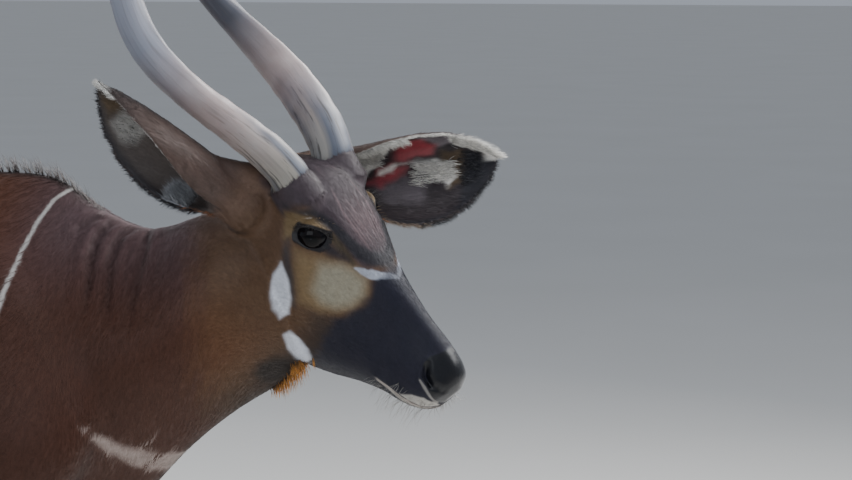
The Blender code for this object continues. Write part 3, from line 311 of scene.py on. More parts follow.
# Colours of the markings that aren't in the settings, and of painted light and shade
# Painted light: the lit chestnut is the top of the back painted lighter, and the neck's top colour a painted
# cool sheen
CHESTNUT_DARK, CHESTNUT_LIT, NECK_TOP_SHEEN = linear("#40271e"), linear("#6b4430"), linear("#625359")
# The throat colour is painted shade under the jaw
CHEEK, CHEEK_LOW, THROAT_SHADE = linear("#664d36"), linear("#71401f"), linear("#221b18")
POLL, SPOT = linear("#7c6458"), linear("#e2e6f0")
BELLY, LEG_BLACK, LEG_WHITE = linear("#2a1a17"), linear("#15120f"), linear("#cfc8ba")
BROW, RUST, PARTING = linear("#28272d"), linear("#5a4145"), linear("#90767a")
LID, TAN, OLIVE = linear("#786446"), linear("#8a7352"), linear("#40372b")
# The rim colour is a dark bare rim round the eye and painted shade under the upper lid, in the nostrils and
# in the mouth line; the jaw colour is painted shade under the head
RIM_AND_HOLE_SHADE, TEAR, JAW_SHADE = linear("#0a0a11"), linear("#26252f"), linear("#2d2624")
# The colour behind the eye is painted shade
EYE_BACK_SHADE, CHEVRON_TONE = linear("#37353a"), linear("#b3b9c6")
PAD, LIP, LIP_PINK = linear("#0d0e14"), linear("#cfc9c0"), linear("#a8948a")
EAR_BACK, EAR_GREY, EAR_GLOW = linear("#584843"), linear("#a3a09b"), linear("#96603c")
# The ear cups' inside is one colour, painted lighter on the right ear and darker on the left one as painted
# light
EAR_CUP_BY_LIGHT = {"left": linear("#332d31"), "right": linear("#524a46")}
EAR_PINK, EAR_BLACK, EAR_FUR = linear("#8f3039"), linear("#25252c"), linear("#ebe8e1")
EAR_TAN, EAR_MAUVE, EAR_TUFT = linear("#5c4b36"), linear("#8b8288"), linear("#a3a5aa")
# The fringe's orange is partly painted light shining through the hairs
BRISTLE, BRISTLE_PALE, FRINGE_BACKLIT = linear("#241a17"), linear("#8d7a68"), linear("#c98a3c")


def unit(v):
    v = np.array(v, float)
    return v / (np.linalg.norm(v, axis=-1, keepdims=True) + 1e-12)


def bell(distance, radius):
    return np.exp(-((distance / radius) ** 2))


def ramp(x, low, high):
    """A smooth rise from 0 at low to 1 at high."""
    t = np.clip((x - low) / (high - low), 0.0, 1.0)
    return t * t * (3 - 2 * t)


def mix(colours, amount, colour):
    """Rows turned towards a colour or way by an amount for each row."""
    amount = np.asarray(amount)[:, None]
    return colours * (1 - amount) + np.array(colour) * amount


def turned(yaw, pitch, roll):
    """Head frame to body frame: turn to the left, dip of the nose, tilt about the nose."""
    return (
        Matrix.Rotation(math.radians(yaw), 4, "Z")
        @ Matrix.Rotation(math.radians(pitch), 4, "Y")
        @ Matrix.Rotation(math.radians(roll), 4, "X")
    )


HEAD_FRAME = Matrix.Translation(HEAD_AT) @ turned(HEAD_TURN, HEAD_DIP, HEAD_TILT)


def to_frame(points, place):
    """Points in the axes of a frame."""
    back = np.array(place.inverted())
    return points @ back[:3, :3].T + back[:3, 3]


def from_frame(points, place):
    there = np.array(place)
    return points @ there[:3, :3].T + there[:3, 3]


def way_out(ways):
    """Directions in the head frame turned to the body frame."""
    return ways @ np.array(HEAD_FRAME)[:3, :3].T


def line_distance(points, line):
    """How far points are from a line of places, and the share of the line next to them."""
    line = np.array(line, float)
    run = np.concatenate([[0.0], np.cumsum(np.linalg.norm(np.diff(line, axis=0), axis=1))])
    best = np.full(len(points), np.inf)
    share = np.zeros(len(points))
    for i, (a, b) in enumerate(zip(line[:-1], line[1:])):
        t = np.clip((points - a) @ (b - a) / ((b - a) @ (b - a)), 0, 1)
        away = np.linalg.norm(points - a - t[:, None] * (b - a), axis=1)
        near = away < best
        best[near] = away[near]
        share[near] = (run[i] + t[near] * (run[i + 1] - run[i])) / run[-1]
    return best, share


def outline_distance(points, outline):
    """Signed distance to a closed outline in a plane, below zero inside it."""
    outline = np.array(outline, float)
    away = np.full(len(points), np.inf)
    inside = np.zeros(len(points), bool)
    for a, b in zip(outline, np.roll(outline, -1, axis=0)):
        edge = b - a
        t = np.clip((points - a) @ edge / (edge @ edge), 0, 1)
        away = np.minimum(away, np.linalg.norm(points - a - t[:, None] * edge, axis=1))
        crosses = (a[1] > points[:, 1]) != (b[1] > points[:, 1])
        rise = np.where(abs(b[1] - a[1]) < 1e-9, 1e-9, b[1] - a[1])
        inside ^= crosses & (points[:, 0] < a[0] + (points[:, 1] - a[1]) / rise * (b[0] - a[0]))
    return np.where(inside, -away, away)


def patch(points, outline, soft, depth=0.045):
    """How much points lie in a patch of the surface whose outline is given by places in space."""
    outline = np.array(outline, float)
    middle = outline.mean(axis=0)
    _, _, axes = np.linalg.svd(outline - middle)
    flat, edge = (points - middle) @ axes.T, (outline - middle) @ axes.T
    away = outline_distance(flat[:, :2], edge[:, :2])
    return (1 - ramp(away, -soft, soft)) * (abs(flat[:, 2]) < depth)


def stroke(points, line, widths, soft):
    """How much points lie in a stroke along a line, whose half width is given at even shares."""
    away, share = line_distance(points, line)
    width = np.interp(share, np.linspace(0, 1, len(widths)), widths)
    return 1 - ramp(away, width - soft, width + soft)


def mottle(points, size, seed):
    """Smooth noise between -1 and 1 whose spots are about the given size."""
    rng = np.random.default_rng(seed)
    total = np.zeros(len(points))
    for k in range(6):
        way = unit(rng.normal(size=3)) * 2 * math.pi / (size * (0.7 + 0.25 * k))
        total += np.sin(points @ way + rng.uniform(0, 2 * math.pi)) / (1 + 0.3 * k)
    return total / 3.0


def smooth_rows(rows, spacing):
    """Rows of numbers made closer along a curve through them. The first three are a place."""
    rows = np.array(rows, float)
    step = np.linalg.norm(np.diff(rows[:, :3], axis=0), axis=1)
    at = np.concatenate([[0.0], np.cumsum(step)])
    slope = np.gradient(rows, at, axis=0)
    made = [rows[0]]
    for i in range(len(rows) - 1):
        parts = max(1, round(step[i] / spacing))
        for k in range(1, parts + 1):
            t = k / parts
            h00, h10 = 2 * t**3 - 3 * t**2 + 1, t**3 - 2 * t**2 + t
            h01, h11 = 3 * t**2 - 2 * t**3, t**3 - t**2
            row = h00 * rows[i] + h01 * rows[i + 1]
            made.append(row + step[i] * (h10 * slope[i] + h11 * slope[i + 1]))
    return np.array(made)


def eased(at, values, slopes):
    """A smooth curve through values that stand at whole numbers."""
    i = min(int(at), len(values) - 2)
    t = at - i
    bend = t * t * (3 - 2 * t)
    start, end = slopes[i] * t * (1 - t) ** 2, slopes[i + 1] * t * t * (t - 1)
    return values[i] * (1 - bend) + values[i + 1] * bend + start + end


def section_ring(row, points, square):
    """Points round a section: row is its middle, half its height as a vector and 5 half widths."""
    middle, half, widths = row[:3], row[3:6], row[6:11]
    slopes = np.gradient(widths)
    ring = []
    for k in range(points):
        angle = 2 * math.pi * k / points
        up = math.copysign(abs(math.cos(angle)) ** (2 / square), math.cos(angle))
        out = math.copysign(abs(math.sin(angle)) ** (2 / square), math.sin(angle))
        width = eased(2 * (1 - up), widths, slopes)
        ring.append(middle + half * up + np.array((0.0, width * out, 0.0)))
    return ring


def mesh_object(name, verts, faces):
    mesh = bpy.data.meshes.new(name)
    mesh.from_pydata([tuple(v) for v in verts], [], faces)
    bm = bmesh.new()
    bm.from_mesh(mesh)
    bmesh.ops.recalc_face_normals(bm, faces=bm.faces)
    bm.to_mesh(mesh)
    bm.free()
    obj = bpy.data.objects.new(name, mesh)
    bpy.context.scene.collection.objects.link(obj)
    return obj


def loft(name, rings):
    """A closed surface through the rings, with a fan at each end."""
    points = len(rings[0])
    verts = [p for ring in rings for p in ring]
    faces = []
    for i in range(len(rings) - 1):
        for k in range(points):
            n = (k + 1) % points
            faces.append((i * points + k, i * points + n, (i + 1) * points + n, (i + 1) * points + k))
    for ring, start in ((rings[0], 0), (rings[-1], (len(rings) - 1) * points)):
        centre = len(verts)
        verts.append(np.mean(ring, axis=0))
        for k in range(points):
            faces.append((start + k, start + (k + 1) % points, centre))
    return mesh_object(name, verts, faces)


def tube(name, path, radii, points, keel=0.0, turns=0.0):
    """A closed tube along a path. A keel is a ridge that turns about the path on its way."""
    path = np.array(path, float)
    rings = []
    side = None
    for i, at in enumerate(path):
        ahead = unit(path[min(i + 1, len(path) - 1)] - path[max(i - 1, 0)])
        if side is None:
            side = np.cross(ahead, (0.0, 0.0, 1.0) if abs(ahead[2]) < 0.9 else (1.0, 0.0, 0.0))
        side = unit(side - ahead * side.dot(ahead))
        up = np.cross(ahead, side)
        turn = 2 * math.pi * turns * i / (len(path) - 1)
        ring = []
        for k in range(points):
            angle = 2 * math.pi * k / points
            ridge = bell(math.remainder(angle - turn, 2 * math.pi), KEEL_WIDTH)
            ridge += 0.6 * bell(math.remainder(angle - turn - math.pi, 2 * math.pi), KEEL_WIDTH)
            radius = radii[i] * (1 - keel / 2 + keel * 1.6 * ridge)
            ring.append(at + radius * (side * math.cos(angle) + up * math.sin(angle)))
        rings.append(ring)
    return loft(name, rings)


def section_row(top, bottom, widths):
    top, bottom = np.array(top, float), np.array(bottom, float)
    return np.concatenate([(top + bottom) / 2, (top - bottom) / 2, widths])


def section_loft(name, rows, spacing, points, square):
    return loft(name, [section_ring(row, points, square) for row in smooth_rows(rows, spacing)])


def foot_x(x, z, step):
    return x + step * max(0.0, 1 - z / STEP_FROM)


def feet():
    """Each foot: its end, side and sign, and the x and y of its lowest section."""
    for end, (table, steps) in LEGS.items():
        z, x, _, y, _ = table[-1]
        for side, sign in SIDES:
            yield end, side, sign, foot_x(x, z, steps[side]), sign * y


def leg_pieces(end, side):
    """A leg with its small claws, and the heel tendon on a hind one."""
    table, steps = LEGS[end]
    sign, step = (1 if side == "left" else -1), steps[side]
    rows = []
    for z, x, length, y, width in table:
        rows.append(np.concatenate([(foot_x(x, z, step), sign * y, z), (length, 0, 0), [width] * 5]))
    made = [section_loft("leg", rows, 0.012, 40, LEG_SQUARE)]
    if end == "hind":
        rows = np.array(TENDON)
        rows[:, 0] = [foot_x(x, z, step) for x, z in rows[:, [0, 2]]]
        rows[:, 1] *= sign
        rows = smooth_rows(rows, 0.012)
        made.append(tube("tendon", rows[:, :3], rows[:, 3], 24))
    back, out, height, radius = DEWCLAW
    _, x, _, y, _ = min(table, key=lambda row: abs(row[0] - height))
    middle = Vector((foot_x(x, height, step) - back, sign * y, height))
    for toe in (-1, 1):
        bpy.ops.mesh.primitive_uv_sphere_add(segments=24, ring_count=16, radius=radius)
        claw = bpy.context.object
        claw.data.transform(Matrix.Translation(middle + Vector((0, toe * out, 0))))
        made.append(claw)
    return made


def ear_axes(side):
    root, along, opening = (np.array(v, float) for v in EARS[side])
    along = unit(along)
    opening = unit(opening - along * along.dot(opening))
    across = np.cross(along, opening) * (1 if side == "left" else -1)
    return root, along, opening, across


def ear_centre(side, u):
    """Middle of the cup's arc at a share of the ear's length, its radius and half angle."""
    root, along, opening, across = ear_axes(side)
    radius = np.interp(u, EAR_SHARES, EAR_RADII) * EAR_SPREAD[side]
    half = np.radians(np.interp(u, EAR_SHARES, EAR_ANGLES)) * EAR_CURL[side]
    wave = np.sin(math.pi * np.clip(u, 0, 1))
    centre = root + np.multiply.outer(u, along) * EAR_LENGTH[side]
    centre = centre + np.multiply.outer(wave, opening * EAR_BOW + across * EAR_SAG[side])
    centre = centre + np.multiply.outer(radius - EAR_RADII[0] * EAR_SPREAD[side], opening) * EAR_DEEP
    return centre, radius, half


def ear_place(side, u, turn):
    """Places on the cup's middle surface. Turn goes from -1 on one rim to 1 on the other."""
    _, _, opening, across = ear_axes(side)
    centre, radius, half = ear_centre(side, u)
    angle = half * turn
    way = np.multiply.outer(np.sin(angle), across) - np.multiply.outer(np.cos(angle), opening) * EAR_DEEP
    return centre + radius[..., None] * way, way


def ear_pieces(side):
    """The open cup of an ear, a sheet that is thickened, and the stalk that carries it."""
    steps, wide = 66, 48
    u, turn = np.meshgrid(np.linspace(0, 1, steps + 1), np.linspace(-1, 1, wide + 1), indexing="ij")
    verts, _ = ear_place(side, u.ravel(), turn.ravel())
    row = wide + 1
    faces = []
    for i in range(steps):
        for k in range(wide):
            a = i * row + k
            faces.append((a, a + 1, a + row + 1, a + row))
    cup = mesh_object("cup", verts, faces)
    solid = cup.modifiers.new("thick", "SOLIDIFY")
    solid.thickness = EAR_THICK
    solid.offset = 0.0
    apply_modifiers(cup)
    inside = np.array(EAR_INSIDE)
    if side == "right":
        inside[1] = -inside[1]
    root, along, _, _ = ear_axes(side)
    stalk = tube("stalk", [inside] + [root + along * at for at in STALK_AT], STALK_RADII, 32)
    made = [cup, stalk]
    if side == "right":
        made.append(tube("web", EAR_WEB, EAR_WEB_RADII, 32))
    for piece in made:
        piece.data.transform(HEAD_FRAME)
    return made


def skin_pieces():
    """Overlapping closed pieces that the skin is melted from."""
    rows = [section_row((t[0], 0, t[1]), (b[0], 0, b[1]), w) for t, b, w in TRUNK]
    pieces = [section_loft("trunk", rows, 0.016, 96, TRUNK_SQUARE)]
    rows = [section_row(t, b, w) for t, b, w in NECK]
    pieces.append(section_loft("neck", rows, 0.012, 96, TRUNK_SQUARE))
    rows = [section_row((x, 0, top), (x, 0, low), w) for x, top, low, w in HEAD]
    head = section_loft("head", rows, 0.005, 96, HEAD_SQUARE)
    head.data.transform(HEAD_FRAME)
    pieces.append(head)
    for sign, side in ((1, "left"), (-1, "right")):
        stump = tube("stump", np.array(STUMP) * (1, sign, 1), STUMP_RADII, 32)
        stump.data.transform(HEAD_FRAME)
        pieces.append(stump)
        pieces += ear_pieces(side)
        pieces += leg_pieces("front", side)
        pieces += leg_pieces("hind", side)
    path = smooth_rows([p + (r,) for p, r in zip(TAIL, TAIL_RADII)], 0.012)
    pieces.append(tube("tail", path[:, :3], path[:, 3], 24))
    return pieces


def merged(name, pieces):
    """One object holding the meshes of the pieces, which are removed."""
    bm = bmesh.new()
    for piece in pieces:
        bm.from_mesh(piece.data)
        bpy.data.objects.remove(piece)
    mesh = bpy.data.meshes.new(name)
    bm.to_mesh(mesh)
    bm.free()
    obj = bpy.data.objects.new(name, mesh)
    bpy.context.scene.collection.objects.link(obj)
    return obj


def only_mesh(obj):
    """The mesh of an object, which is removed."""
    mesh = obj.data
    bpy.data.objects.remove(obj)
    return mesh


def apply_modifiers(obj):
    depsgraph = bpy.context.evaluated_depsgraph_get()
    mesh = bpy.data.meshes.new_from_object(obj.evaluated_get(depsgraph))
    obj.modifiers.clear()
    obj.data = mesh


def coordinates(mesh):
    flat = np.empty(len(mesh.vertices) * 3)
    mesh.vertices.foreach_get("co", flat)
    return flat.reshape(-1, 3)


def place_points(mesh, points):
    mesh.vertices.foreach_set("co", points.ravel())
    mesh.update()


def normals(mesh):
    flat = np.empty(len(mesh.vertices) * 3)
    mesh.vertex_normals.foreach_get("vector", flat)
    return flat.reshape(-1, 3)


def triangles(mesh):
    mesh.calc_loop_triangles()
    flat = np.empty(len(mesh.loop_triangles) * 3, np.int32)
    mesh.loop_triangles.foreach_get("vertices", flat)
    return flat.reshape(-1, 3)


def weigh(obj, weight):
    """A vertex group with the given weights, in ten steps."""
    obj.vertex_groups.clear()
    group = obj.vertex_groups.new(name="weight")
    level = np.round(weight * 10).astype(int)
    for k in range(1, 11):
        chosen = np.flatnonzero(level == k).tolist()
        if chosen:
            group.add(chosen, k / 10, "REPLACE")
    return group.name


def smooth(obj, weight, rounds):
    modifier = obj.modifiers.new("smooth", "SMOOTH")
    modifier.factor = 0.5
    modifier.iterations = rounds
    modifier.vertex_group = weigh(obj, weight)
    apply_modifiers(obj)


def thin_out(obj, faces, hold=None):
    """Fewer triangles on the same shape, none taken where it is held."""
    total = len(triangles(obj.data))
    modifier = obj.modifiers.new("thin", "DECIMATE")
    modifier.use_collapse_triangulate = True
    if hold is not None:
        modifier.vertex_group = weigh(obj, hold)
        modifier.invert_vertex_group = True
        held = hold[triangles(obj.data)].all(axis=1).sum()
        faces += int(held)
    modifier.ratio = min(1.0, faces / total)
    apply_modifiers(obj)


def head_side(points):
    """Distance past the cut between neck and head."""
    return (points - HEAD_CUT[0]) @ unit(HEAD_CUT[1])


def part_of(points):
    """The part of the body that each place of the skin belongs to, by the nearest solid."""
    part = np.where(head_side(points) > 0, FACE, BODY)
    trees = {}
    for name in ("head", "neck", "torso", "ear_right", "ear_left"):
        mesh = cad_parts[name].data
        verts = coordinates(mesh) - np.array(WITHERS)
        trees[name] = BVHTree.FromPolygons(verts.tolist(), triangles(mesh).tolist())
    for side, number in EAR_PARTS:
        root, along, _, _ = ear_axes(side)
        local = to_frame(points, HEAD_FRAME) - root
        reach = local @ along
        span = np.linalg.norm(local - reach[:, None] * along, axis=1)
        near = (reach > -0.01) & (reach < EAR_LENGTH[side] * 1.1) & (span < 0.125)
        others = [name for name in trees if name != f"ear_{side}"]
        for index in np.flatnonzero(near):
            at = points[index].tolist()
            ear = trees[f"ear_{side}"].find_nearest(at, 0.03)[3]
            if ear is None:
                continue
            rest = (trees[name].find_nearest(at, ear + 1e-4)[3] for name in others)
            if all(away is None or away > ear for away in rest):
                part[index] = number
    return part


def shape_body(points):
    """Muscles and hollows, alike on both sides."""
    for at, radius, height in BODY_FORMS:
        for sign in (1, -1):
            near = bell(np.linalg.norm(points - np.array(at) * (1, sign, 1), axis=1), radius)
            points[:, 1] += sign * height * near
    return points


def neck_folds(points):
    """How far places of the neck lie in the creases of its folds, and on the swells beside them."""
    crease, swell = np.zeros(len(points)), np.zeros(len(points))
    for line, depth in zip(NECK_FOLDS, FOLD_STRENGTH):
        for sign, strength in ((1, depth), (-1, 0.6 * depth)):
            away, share = line_distance(points, np.array(line) * (1, sign, 1))
            fade = strength * ramp(share, -0.1, 0.15) * (1 - ramp(share, 0.5, 1.0))
            crease = np.maximum(crease, fade * bell(away, FOLD_HALF_WIDTH))
            swell = np.maximum(swell, fade * bell(away - FOLD_SWELL_WIDTH, FOLD_SWELL_WIDTH * 0.6))
    return crease, swell


def eye_axes():
    """The way the eye looks, the way to its front corner, and the way to the upper lid."""
    aim = unit(EYE_AIM)
    ahead = unit(np.array(EYE_CORNER) - aim * aim.dot(EYE_CORNER))
    return aim, ahead, np.cross(ahead, aim)


def eye_chart(face):
    """Face points beside the eye: share of the lids' opening, towards corner, lid and out."""
    aim, ahead, over = eye_axes()
    q = face - np.array(EYE_AT)
    reach = np.linalg.norm(q, axis=1) + 1e-9
    u, v, w = (q @ axis / reach for axis in (ahead, over, aim))
    almond = np.sqrt((u * EYE_RADIUS / LID_LENGTH) ** 2 + (v * EYE_RADIUS / LID_HEIGHT) ** 2)
    return q, reach, almond, u, v, w


def folded(face):
    """Points of both sides laid on the left one."""
    return face * (1, 0, 1) + np.abs(face) * (0, 1, 0)


def shape_face(points, depth):
    """Brow, eye socket with its lids, cheek, nostrils and mouth line, on head frame points."""
    side = np.where(points[:, 1] >= 0, 1.0, -1.0)
    p = folded(points)
    out = p - (0.0, 0.0, HEAD_MIDDLE)
    out[:, 0] = 0.0
    out = unit(out)
    amount = np.zeros(len(p))
    for at, radius, height in FACE_FORMS:
        amount += height * bell(np.linalg.norm(p - at, axis=1), radius)
    for line, width, deep, rim_width, rim in FACE_GROOVES:
        away, _ = line_distance(p, line)
        amount += rim * bell(away, rim_width) - deep * bell(away, width)
    p += out * amount[:, None]
    q, reach, almond, _, v, w = eye_chart(p)
    lid = EYE_RADIUS + np.interp(almond, LID_AT, LID_REACH)
    for at, width, deep in LID_CREASES:
        lid -= deep * bell((almond - at) * LID_HEIGHT, width) * ramp(v, 0.15, 0.5)
    hold = np.interp(reach, LID_FADE, (1.0, 0.0)) * np.interp(w, (0.0, 0.3), (0.0, 1.0))
    scale = 1 + hold * ((lid + depth) / reach - 1)
    p = np.array(EYE_AT) + q * scale[:, None]
    p[:, 1] *= side
    return p


def refine(obj, chosen):
    """Each chosen triangle parted in four."""
    bm = bmesh.new()
    bm.from_mesh(obj.data)
    bm.verts.ensure_lookup_table()
    inside = [e for e in bm.edges if chosen[e.verts[0].index] and chosen[e.verts[1].index]]
    bmesh.ops.subdivide_edges(bm, edges=inside, cuts=1, use_grid_fill=True)
    bmesh.ops.triangulate(bm, faces=[f for f in bm.faces if len(f.verts) > 3])
    bm.to_mesh(obj.data)
    bm.free()


def head_points(obj):
    return to_frame(coordinates(obj.data), HEAD_FRAME)


def build_skin():
    """The skin of the whole animal, in withers axes, lying under the coat's surface."""
    skin = merged("skin", skin_pieces())
    melt = skin.modifiers.new("melt", "REMESH")
    melt.mode = "VOXEL"
    melt.voxel_size = SKIN_CELL
    apply_modifiers(skin)
    points = coordinates(skin.data)
    part = part_of(points)
    ears = part >= EAR_RIGHT
    tail = ramp(-points[:, 0], 1.03, 1.06) * (points[:, 2] > 0.6)
    behind = (1 - ramp(head_side(points), -0.015, 0.015)) * ~ears * (1 - 0.8 * tail)
    trunk = np.interp(points[:, 2], SOFT_HEIGHT, (0.0, 1.0)) * behind
    trunk *= np.interp(points[:, 0], SOFT_AHEAD, (1.0, 0.0)) * (1 - tail)
    smooth(skin, np.ones(len(points)), HEAD_ROUNDS)
    roots = [from_frame(np.array([EARS[side][0]]), HEAD_FRAME) for side in ("left", "right")]
    away = np.minimum(*(np.linalg.norm(points - root, axis=1) for root in roots))
    smooth(skin, bell(away, ROOT_REACH), ROOT_ROUNDS)
    smooth(skin, behind, LEG_ROUNDS - HEAD_ROUNDS)
    smooth(skin, trunk, TRUNK_ROUNDS)
    place_points(skin.data, shape_body(coordinates(skin.data)))
    look = bpy.context.scene.bongo_coat
    striped = body_stripes(coordinates(skin.data), look, STRIPE_HOLD) > 0
    thin_out(skin, int(len(triangles(skin.data)) * SKIN_KEEP), striped.astype(float))
    points = coordinates(skin.data)
    ahead = (points[:, 0] > 0.07) & (points[:, 2] > 0.86)
    ahead |= (head_side(points) > -0.02) | (part_of(points) >= EAR_RIGHT)
    ahead |= body_stripes(points, look, STRIPE_HOLD) > 0
    thin_out(skin, SKIN_BODY_FACES, ahead.astype(float))
    return skin


def face_detail(skin):
    """Finer triangles on the face, and its forms."""
    part = part_of(coordinates(skin.data))
    face = head_points(skin)
    refine(skin, (part == FACE) & (face[:, 0] > -0.095))
    face = folded(head_points(skin))
    part = part_of(coordinates(skin.data))
    near_eye = np.linalg.norm(face - EYE_AT, axis=1) < 0.038
    nose = (face[:, 0] > 0.150) & (face[:, 2] > -0.100)
    refine(skin, (part == FACE) & (near_eye | nose))
    face = folded(head_points(skin))
    _, _, almond, _, _, w = eye_chart(face)
    near_eye = (np.linalg.norm(face - EYE_AT, axis=1) < 0.036) & (w > 0) & (almond < 1.9)
    refine(skin, near_eye)
    face = head_points(skin)
    front = (face[:, 0] > -0.10) & (head_side(coordinates(skin.data)) > 0)
    smooth(skin, front.astype(float), 3)


def sink(skin):
    """The skin drawn in by the coat's depth, and the folds and forms set on it."""
    points = coordinates(skin.data)
    part = part_of(points)
    out = normals(skin.data)
    depth = np.full(len(points), COAT_DEPTH["body"])
    low = 1 - ramp(points[:, 2], 0.30, 0.55)
    depth += (COAT_DEPTH["leg"] - COAT_DEPTH["body"]) * low
    ahead = ramp(head_side(points), -0.03, 0.04)
    depth += (COAT_DEPTH["face"] - depth) * ahead
    depth[part >= EAR_RIGHT] = COAT_DEPTH["ear"]
    points -= out * depth[:, None]
    crease, swell = neck_folds(points)
    points += out * (FOLD_SWELL * swell - FOLD_DEPTH * crease)[:, None]
    face = to_frame(points, HEAD_FRAME)
    chosen = (part == FACE) & (face[:, 0] > FACE_FROM)
    face[chosen] = shape_face(face[chosen], -COAT_DEPTH["face"] * 0.5)
    points[chosen] = from_frame(face, HEAD_FRAME)[chosen]
    place_points(skin.data, points)
    return part


# Markings of the face, with a painted shadow behind the eye and painted shade on the throat, as places in
# the head frame on the left side
BROW_BAND = ((-0.093, 0.074, -0.004), (-0.075, 0.067, 0.005), (-0.064, 0.057, 0.010),
             (-0.051, 0.049, 0.010), (-0.032, 0.043, 0.011), (-0.012, 0.038, 0.009), (0.005, 0.032, 0.007),
             (0.022, 0.020, 0.008), (0.034, 0.000, 0.009))
BROW_WIDTHS = (0.0028, 0.0040, 0.0050, 0.0060, 0.0068, 0.0078, 0.0090, 0.0100, 0.0100)
CHEVRON = ((0.016, 0.044, -0.006), (0.028, 0.036, -0.004), (0.039, 0.028, -0.001), (0.047, 0.018, 0.003),
           (0.055, 0.006, 0.006), (0.059, 0.000, 0.006))
CHEVRON_WIDTHS = (0.0006, 0.0036, 0.0062, 0.0048, 0.0030, 0.0024)
LID_PATCH = ((-0.089, 0.074, -0.011), (-0.077, 0.072, 0.003), (-0.063, 0.059, 0.006), (-0.047, 0.052, 0.008),
             (-0.025, 0.047, 0.007), (-0.007, 0.045, 0.004), (-0.005, 0.051, -0.003), (-0.036, 0.056, 0.005),
             (-0.054, 0.063, 0.000), (-0.063, 0.067, -0.014), (-0.060, 0.073, -0.027),
             (-0.064, 0.078, -0.038))
LID_LINES = (((-0.074, 0.069, -0.006), (-0.061, 0.058, 0.004), (-0.046, 0.052, 0.006)),
             ((-0.080, 0.072, 0.000), (-0.066, 0.062, 0.007), (-0.052, 0.054, 0.009)))
OLIVE_STRIPE = ((-0.040, 0.056, 0.006), (-0.020, 0.049, 0.004), (0.000, 0.045, 0.001),
                (0.013, 0.042, -0.003))
TEAR_LINE = ((-0.028, 0.059, -0.006), (-0.018, 0.056, -0.007), (-0.006, 0.051, -0.005),
             (0.006, 0.046, -0.003))
# Painted shadow behind the eye
EYE_BACK_SHADOW_LINE = ((-0.060, 0.075, -0.034), (-0.052, 0.080, -0.043), (-0.038, 0.083, -0.054),
              (-0.024, 0.082, -0.064), (-0.010, 0.080, -0.078), (0.004, 0.076, -0.096))
PARTING_LINE = ((-0.115, 0.005, 0.017), (-0.102, 0.013, 0.023), (-0.067, 0.021, 0.025),
                (-0.040, 0.025, 0.021), (-0.017, 0.021, 0.018), (0.012, 0.017, 0.012))
SPOT_HIGH = ((-0.045, 0.083, -0.058), (-0.023, 0.082, -0.068), (-0.004, 0.077, -0.091),
             (0.006, 0.073, -0.113),
             (0.003, 0.076, -0.125), (-0.012, 0.085, -0.116), (-0.028, 0.087, -0.102),
             (-0.041, 0.084, -0.083))
SPOT_LOW = ((0.020, 0.074, -0.142), (0.021, 0.065, -0.137), (0.034, 0.057, -0.140), (0.051, 0.049, -0.147),
            (0.063, 0.034, -0.167), (0.062, 0.036, -0.178), (0.050, 0.054, -0.169), (0.036, 0.066, -0.158))
TAN_PATCH = ((-0.044, 0.076, -0.034), (-0.012, 0.062, -0.015), (0.013, 0.046, -0.006),
             (0.029, 0.038, -0.006),
             (0.047, 0.036, -0.012), (0.057, 0.042, -0.028), (0.052, 0.052, -0.050), (0.030, 0.064, -0.076),
             (0.004, 0.076, -0.084), (-0.017, 0.081, -0.062))
CREAM_PATCH = ((-0.012, 0.066, -0.025), (0.005, 0.052, -0.011), (0.021, 0.044, -0.008),
               (0.038, 0.037, -0.010),
               (0.050, 0.040, -0.024), (0.050, 0.050, -0.043), (0.040, 0.058, -0.058),
               (0.024, 0.067, -0.064),
               (0.006, 0.074, -0.056))
# Back edge of the dark muzzle: x at heights of the head frame
MUZZLE_Z = (-0.185, -0.176, -0.129, -0.096, -0.069, -0.051, -0.034, -0.019, -0.010, 0.000, 0.020)
MUZZLE_X = (0.066, 0.065, 0.063, 0.055, 0.050, 0.058, 0.061, 0.057, 0.047, 0.043, 0.043)
# Half width of the forehead at places along it
FOREHEAD_X = (-0.130, -0.108, -0.093, -0.080, -0.067, -0.046, -0.024, 0.000, 0.024)
FOREHEAD_Y = (0.070, 0.078, 0.078, 0.070, 0.059, 0.048, 0.043, 0.041, 0.036)
# The nose pad seen from the side, as x and z
NOSE_PAD = ((0.166, -0.006), (0.161, -0.016), (0.163, -0.026), (0.176, -0.036), (0.192, -0.041),
            (0.208, -0.050), (0.222, -0.058), (0.235, -0.040), (0.225, 0.010), (0.172, 0.010))
PAD_EDGE = ((0.176, 0.038, -0.040), (0.186, 0.037, -0.042), (0.198, 0.033, -0.046), (0.209, 0.024, -0.053))
UPPER_LIP = ((0.172, 0.039, -0.079), (0.183, 0.039, -0.064), (0.196, 0.036, -0.055), (0.208, 0.026, -0.053),
             (0.214, 0.015, -0.060), (0.206, 0.028, -0.068), (0.191, 0.033, -0.077))
# Painted shade on the throat under the jaw
THROAT_SHADE_PATCH = ((0.024, 0.095, -0.186), (0.033, 0.080, -0.172), (0.047, 0.060, -0.170),
                (0.062, 0.050, -0.174),
                (0.064, 0.056, -0.190), (0.060, 0.070, -0.210), (0.046, 0.084, -0.212),
                (0.030, 0.094, -0.204))
# Markings of the body on the left side: the first stripe as x and z, the crescent of the chest as
# y and z, and how far forward the neck's colour reaches at each height
FIRST_STRIPE = ((0.066, 1.170), (0.066, 1.123), (0.054, 1.111), (0.043, 1.084), (0.036, 1.048),
                (0.037, 1.020),
                (0.040, 0.985), (0.039, 0.930), (0.034, 0.860), (0.026, 0.790), (0.020, 0.745))
CRESCENT = ((0.150, 0.842), (0.129, 0.827), (0.109, 0.815), (0.077, 0.795), (0.055, 0.783), (0.035, 0.776),
            (0.000, 0.771))
NECK_EDGE = ((0.848, 0.894, 0.961, 1.022, 1.068, 1.130), (0.278, 0.283, 0.288, 0.280, 0.262, 0.240))


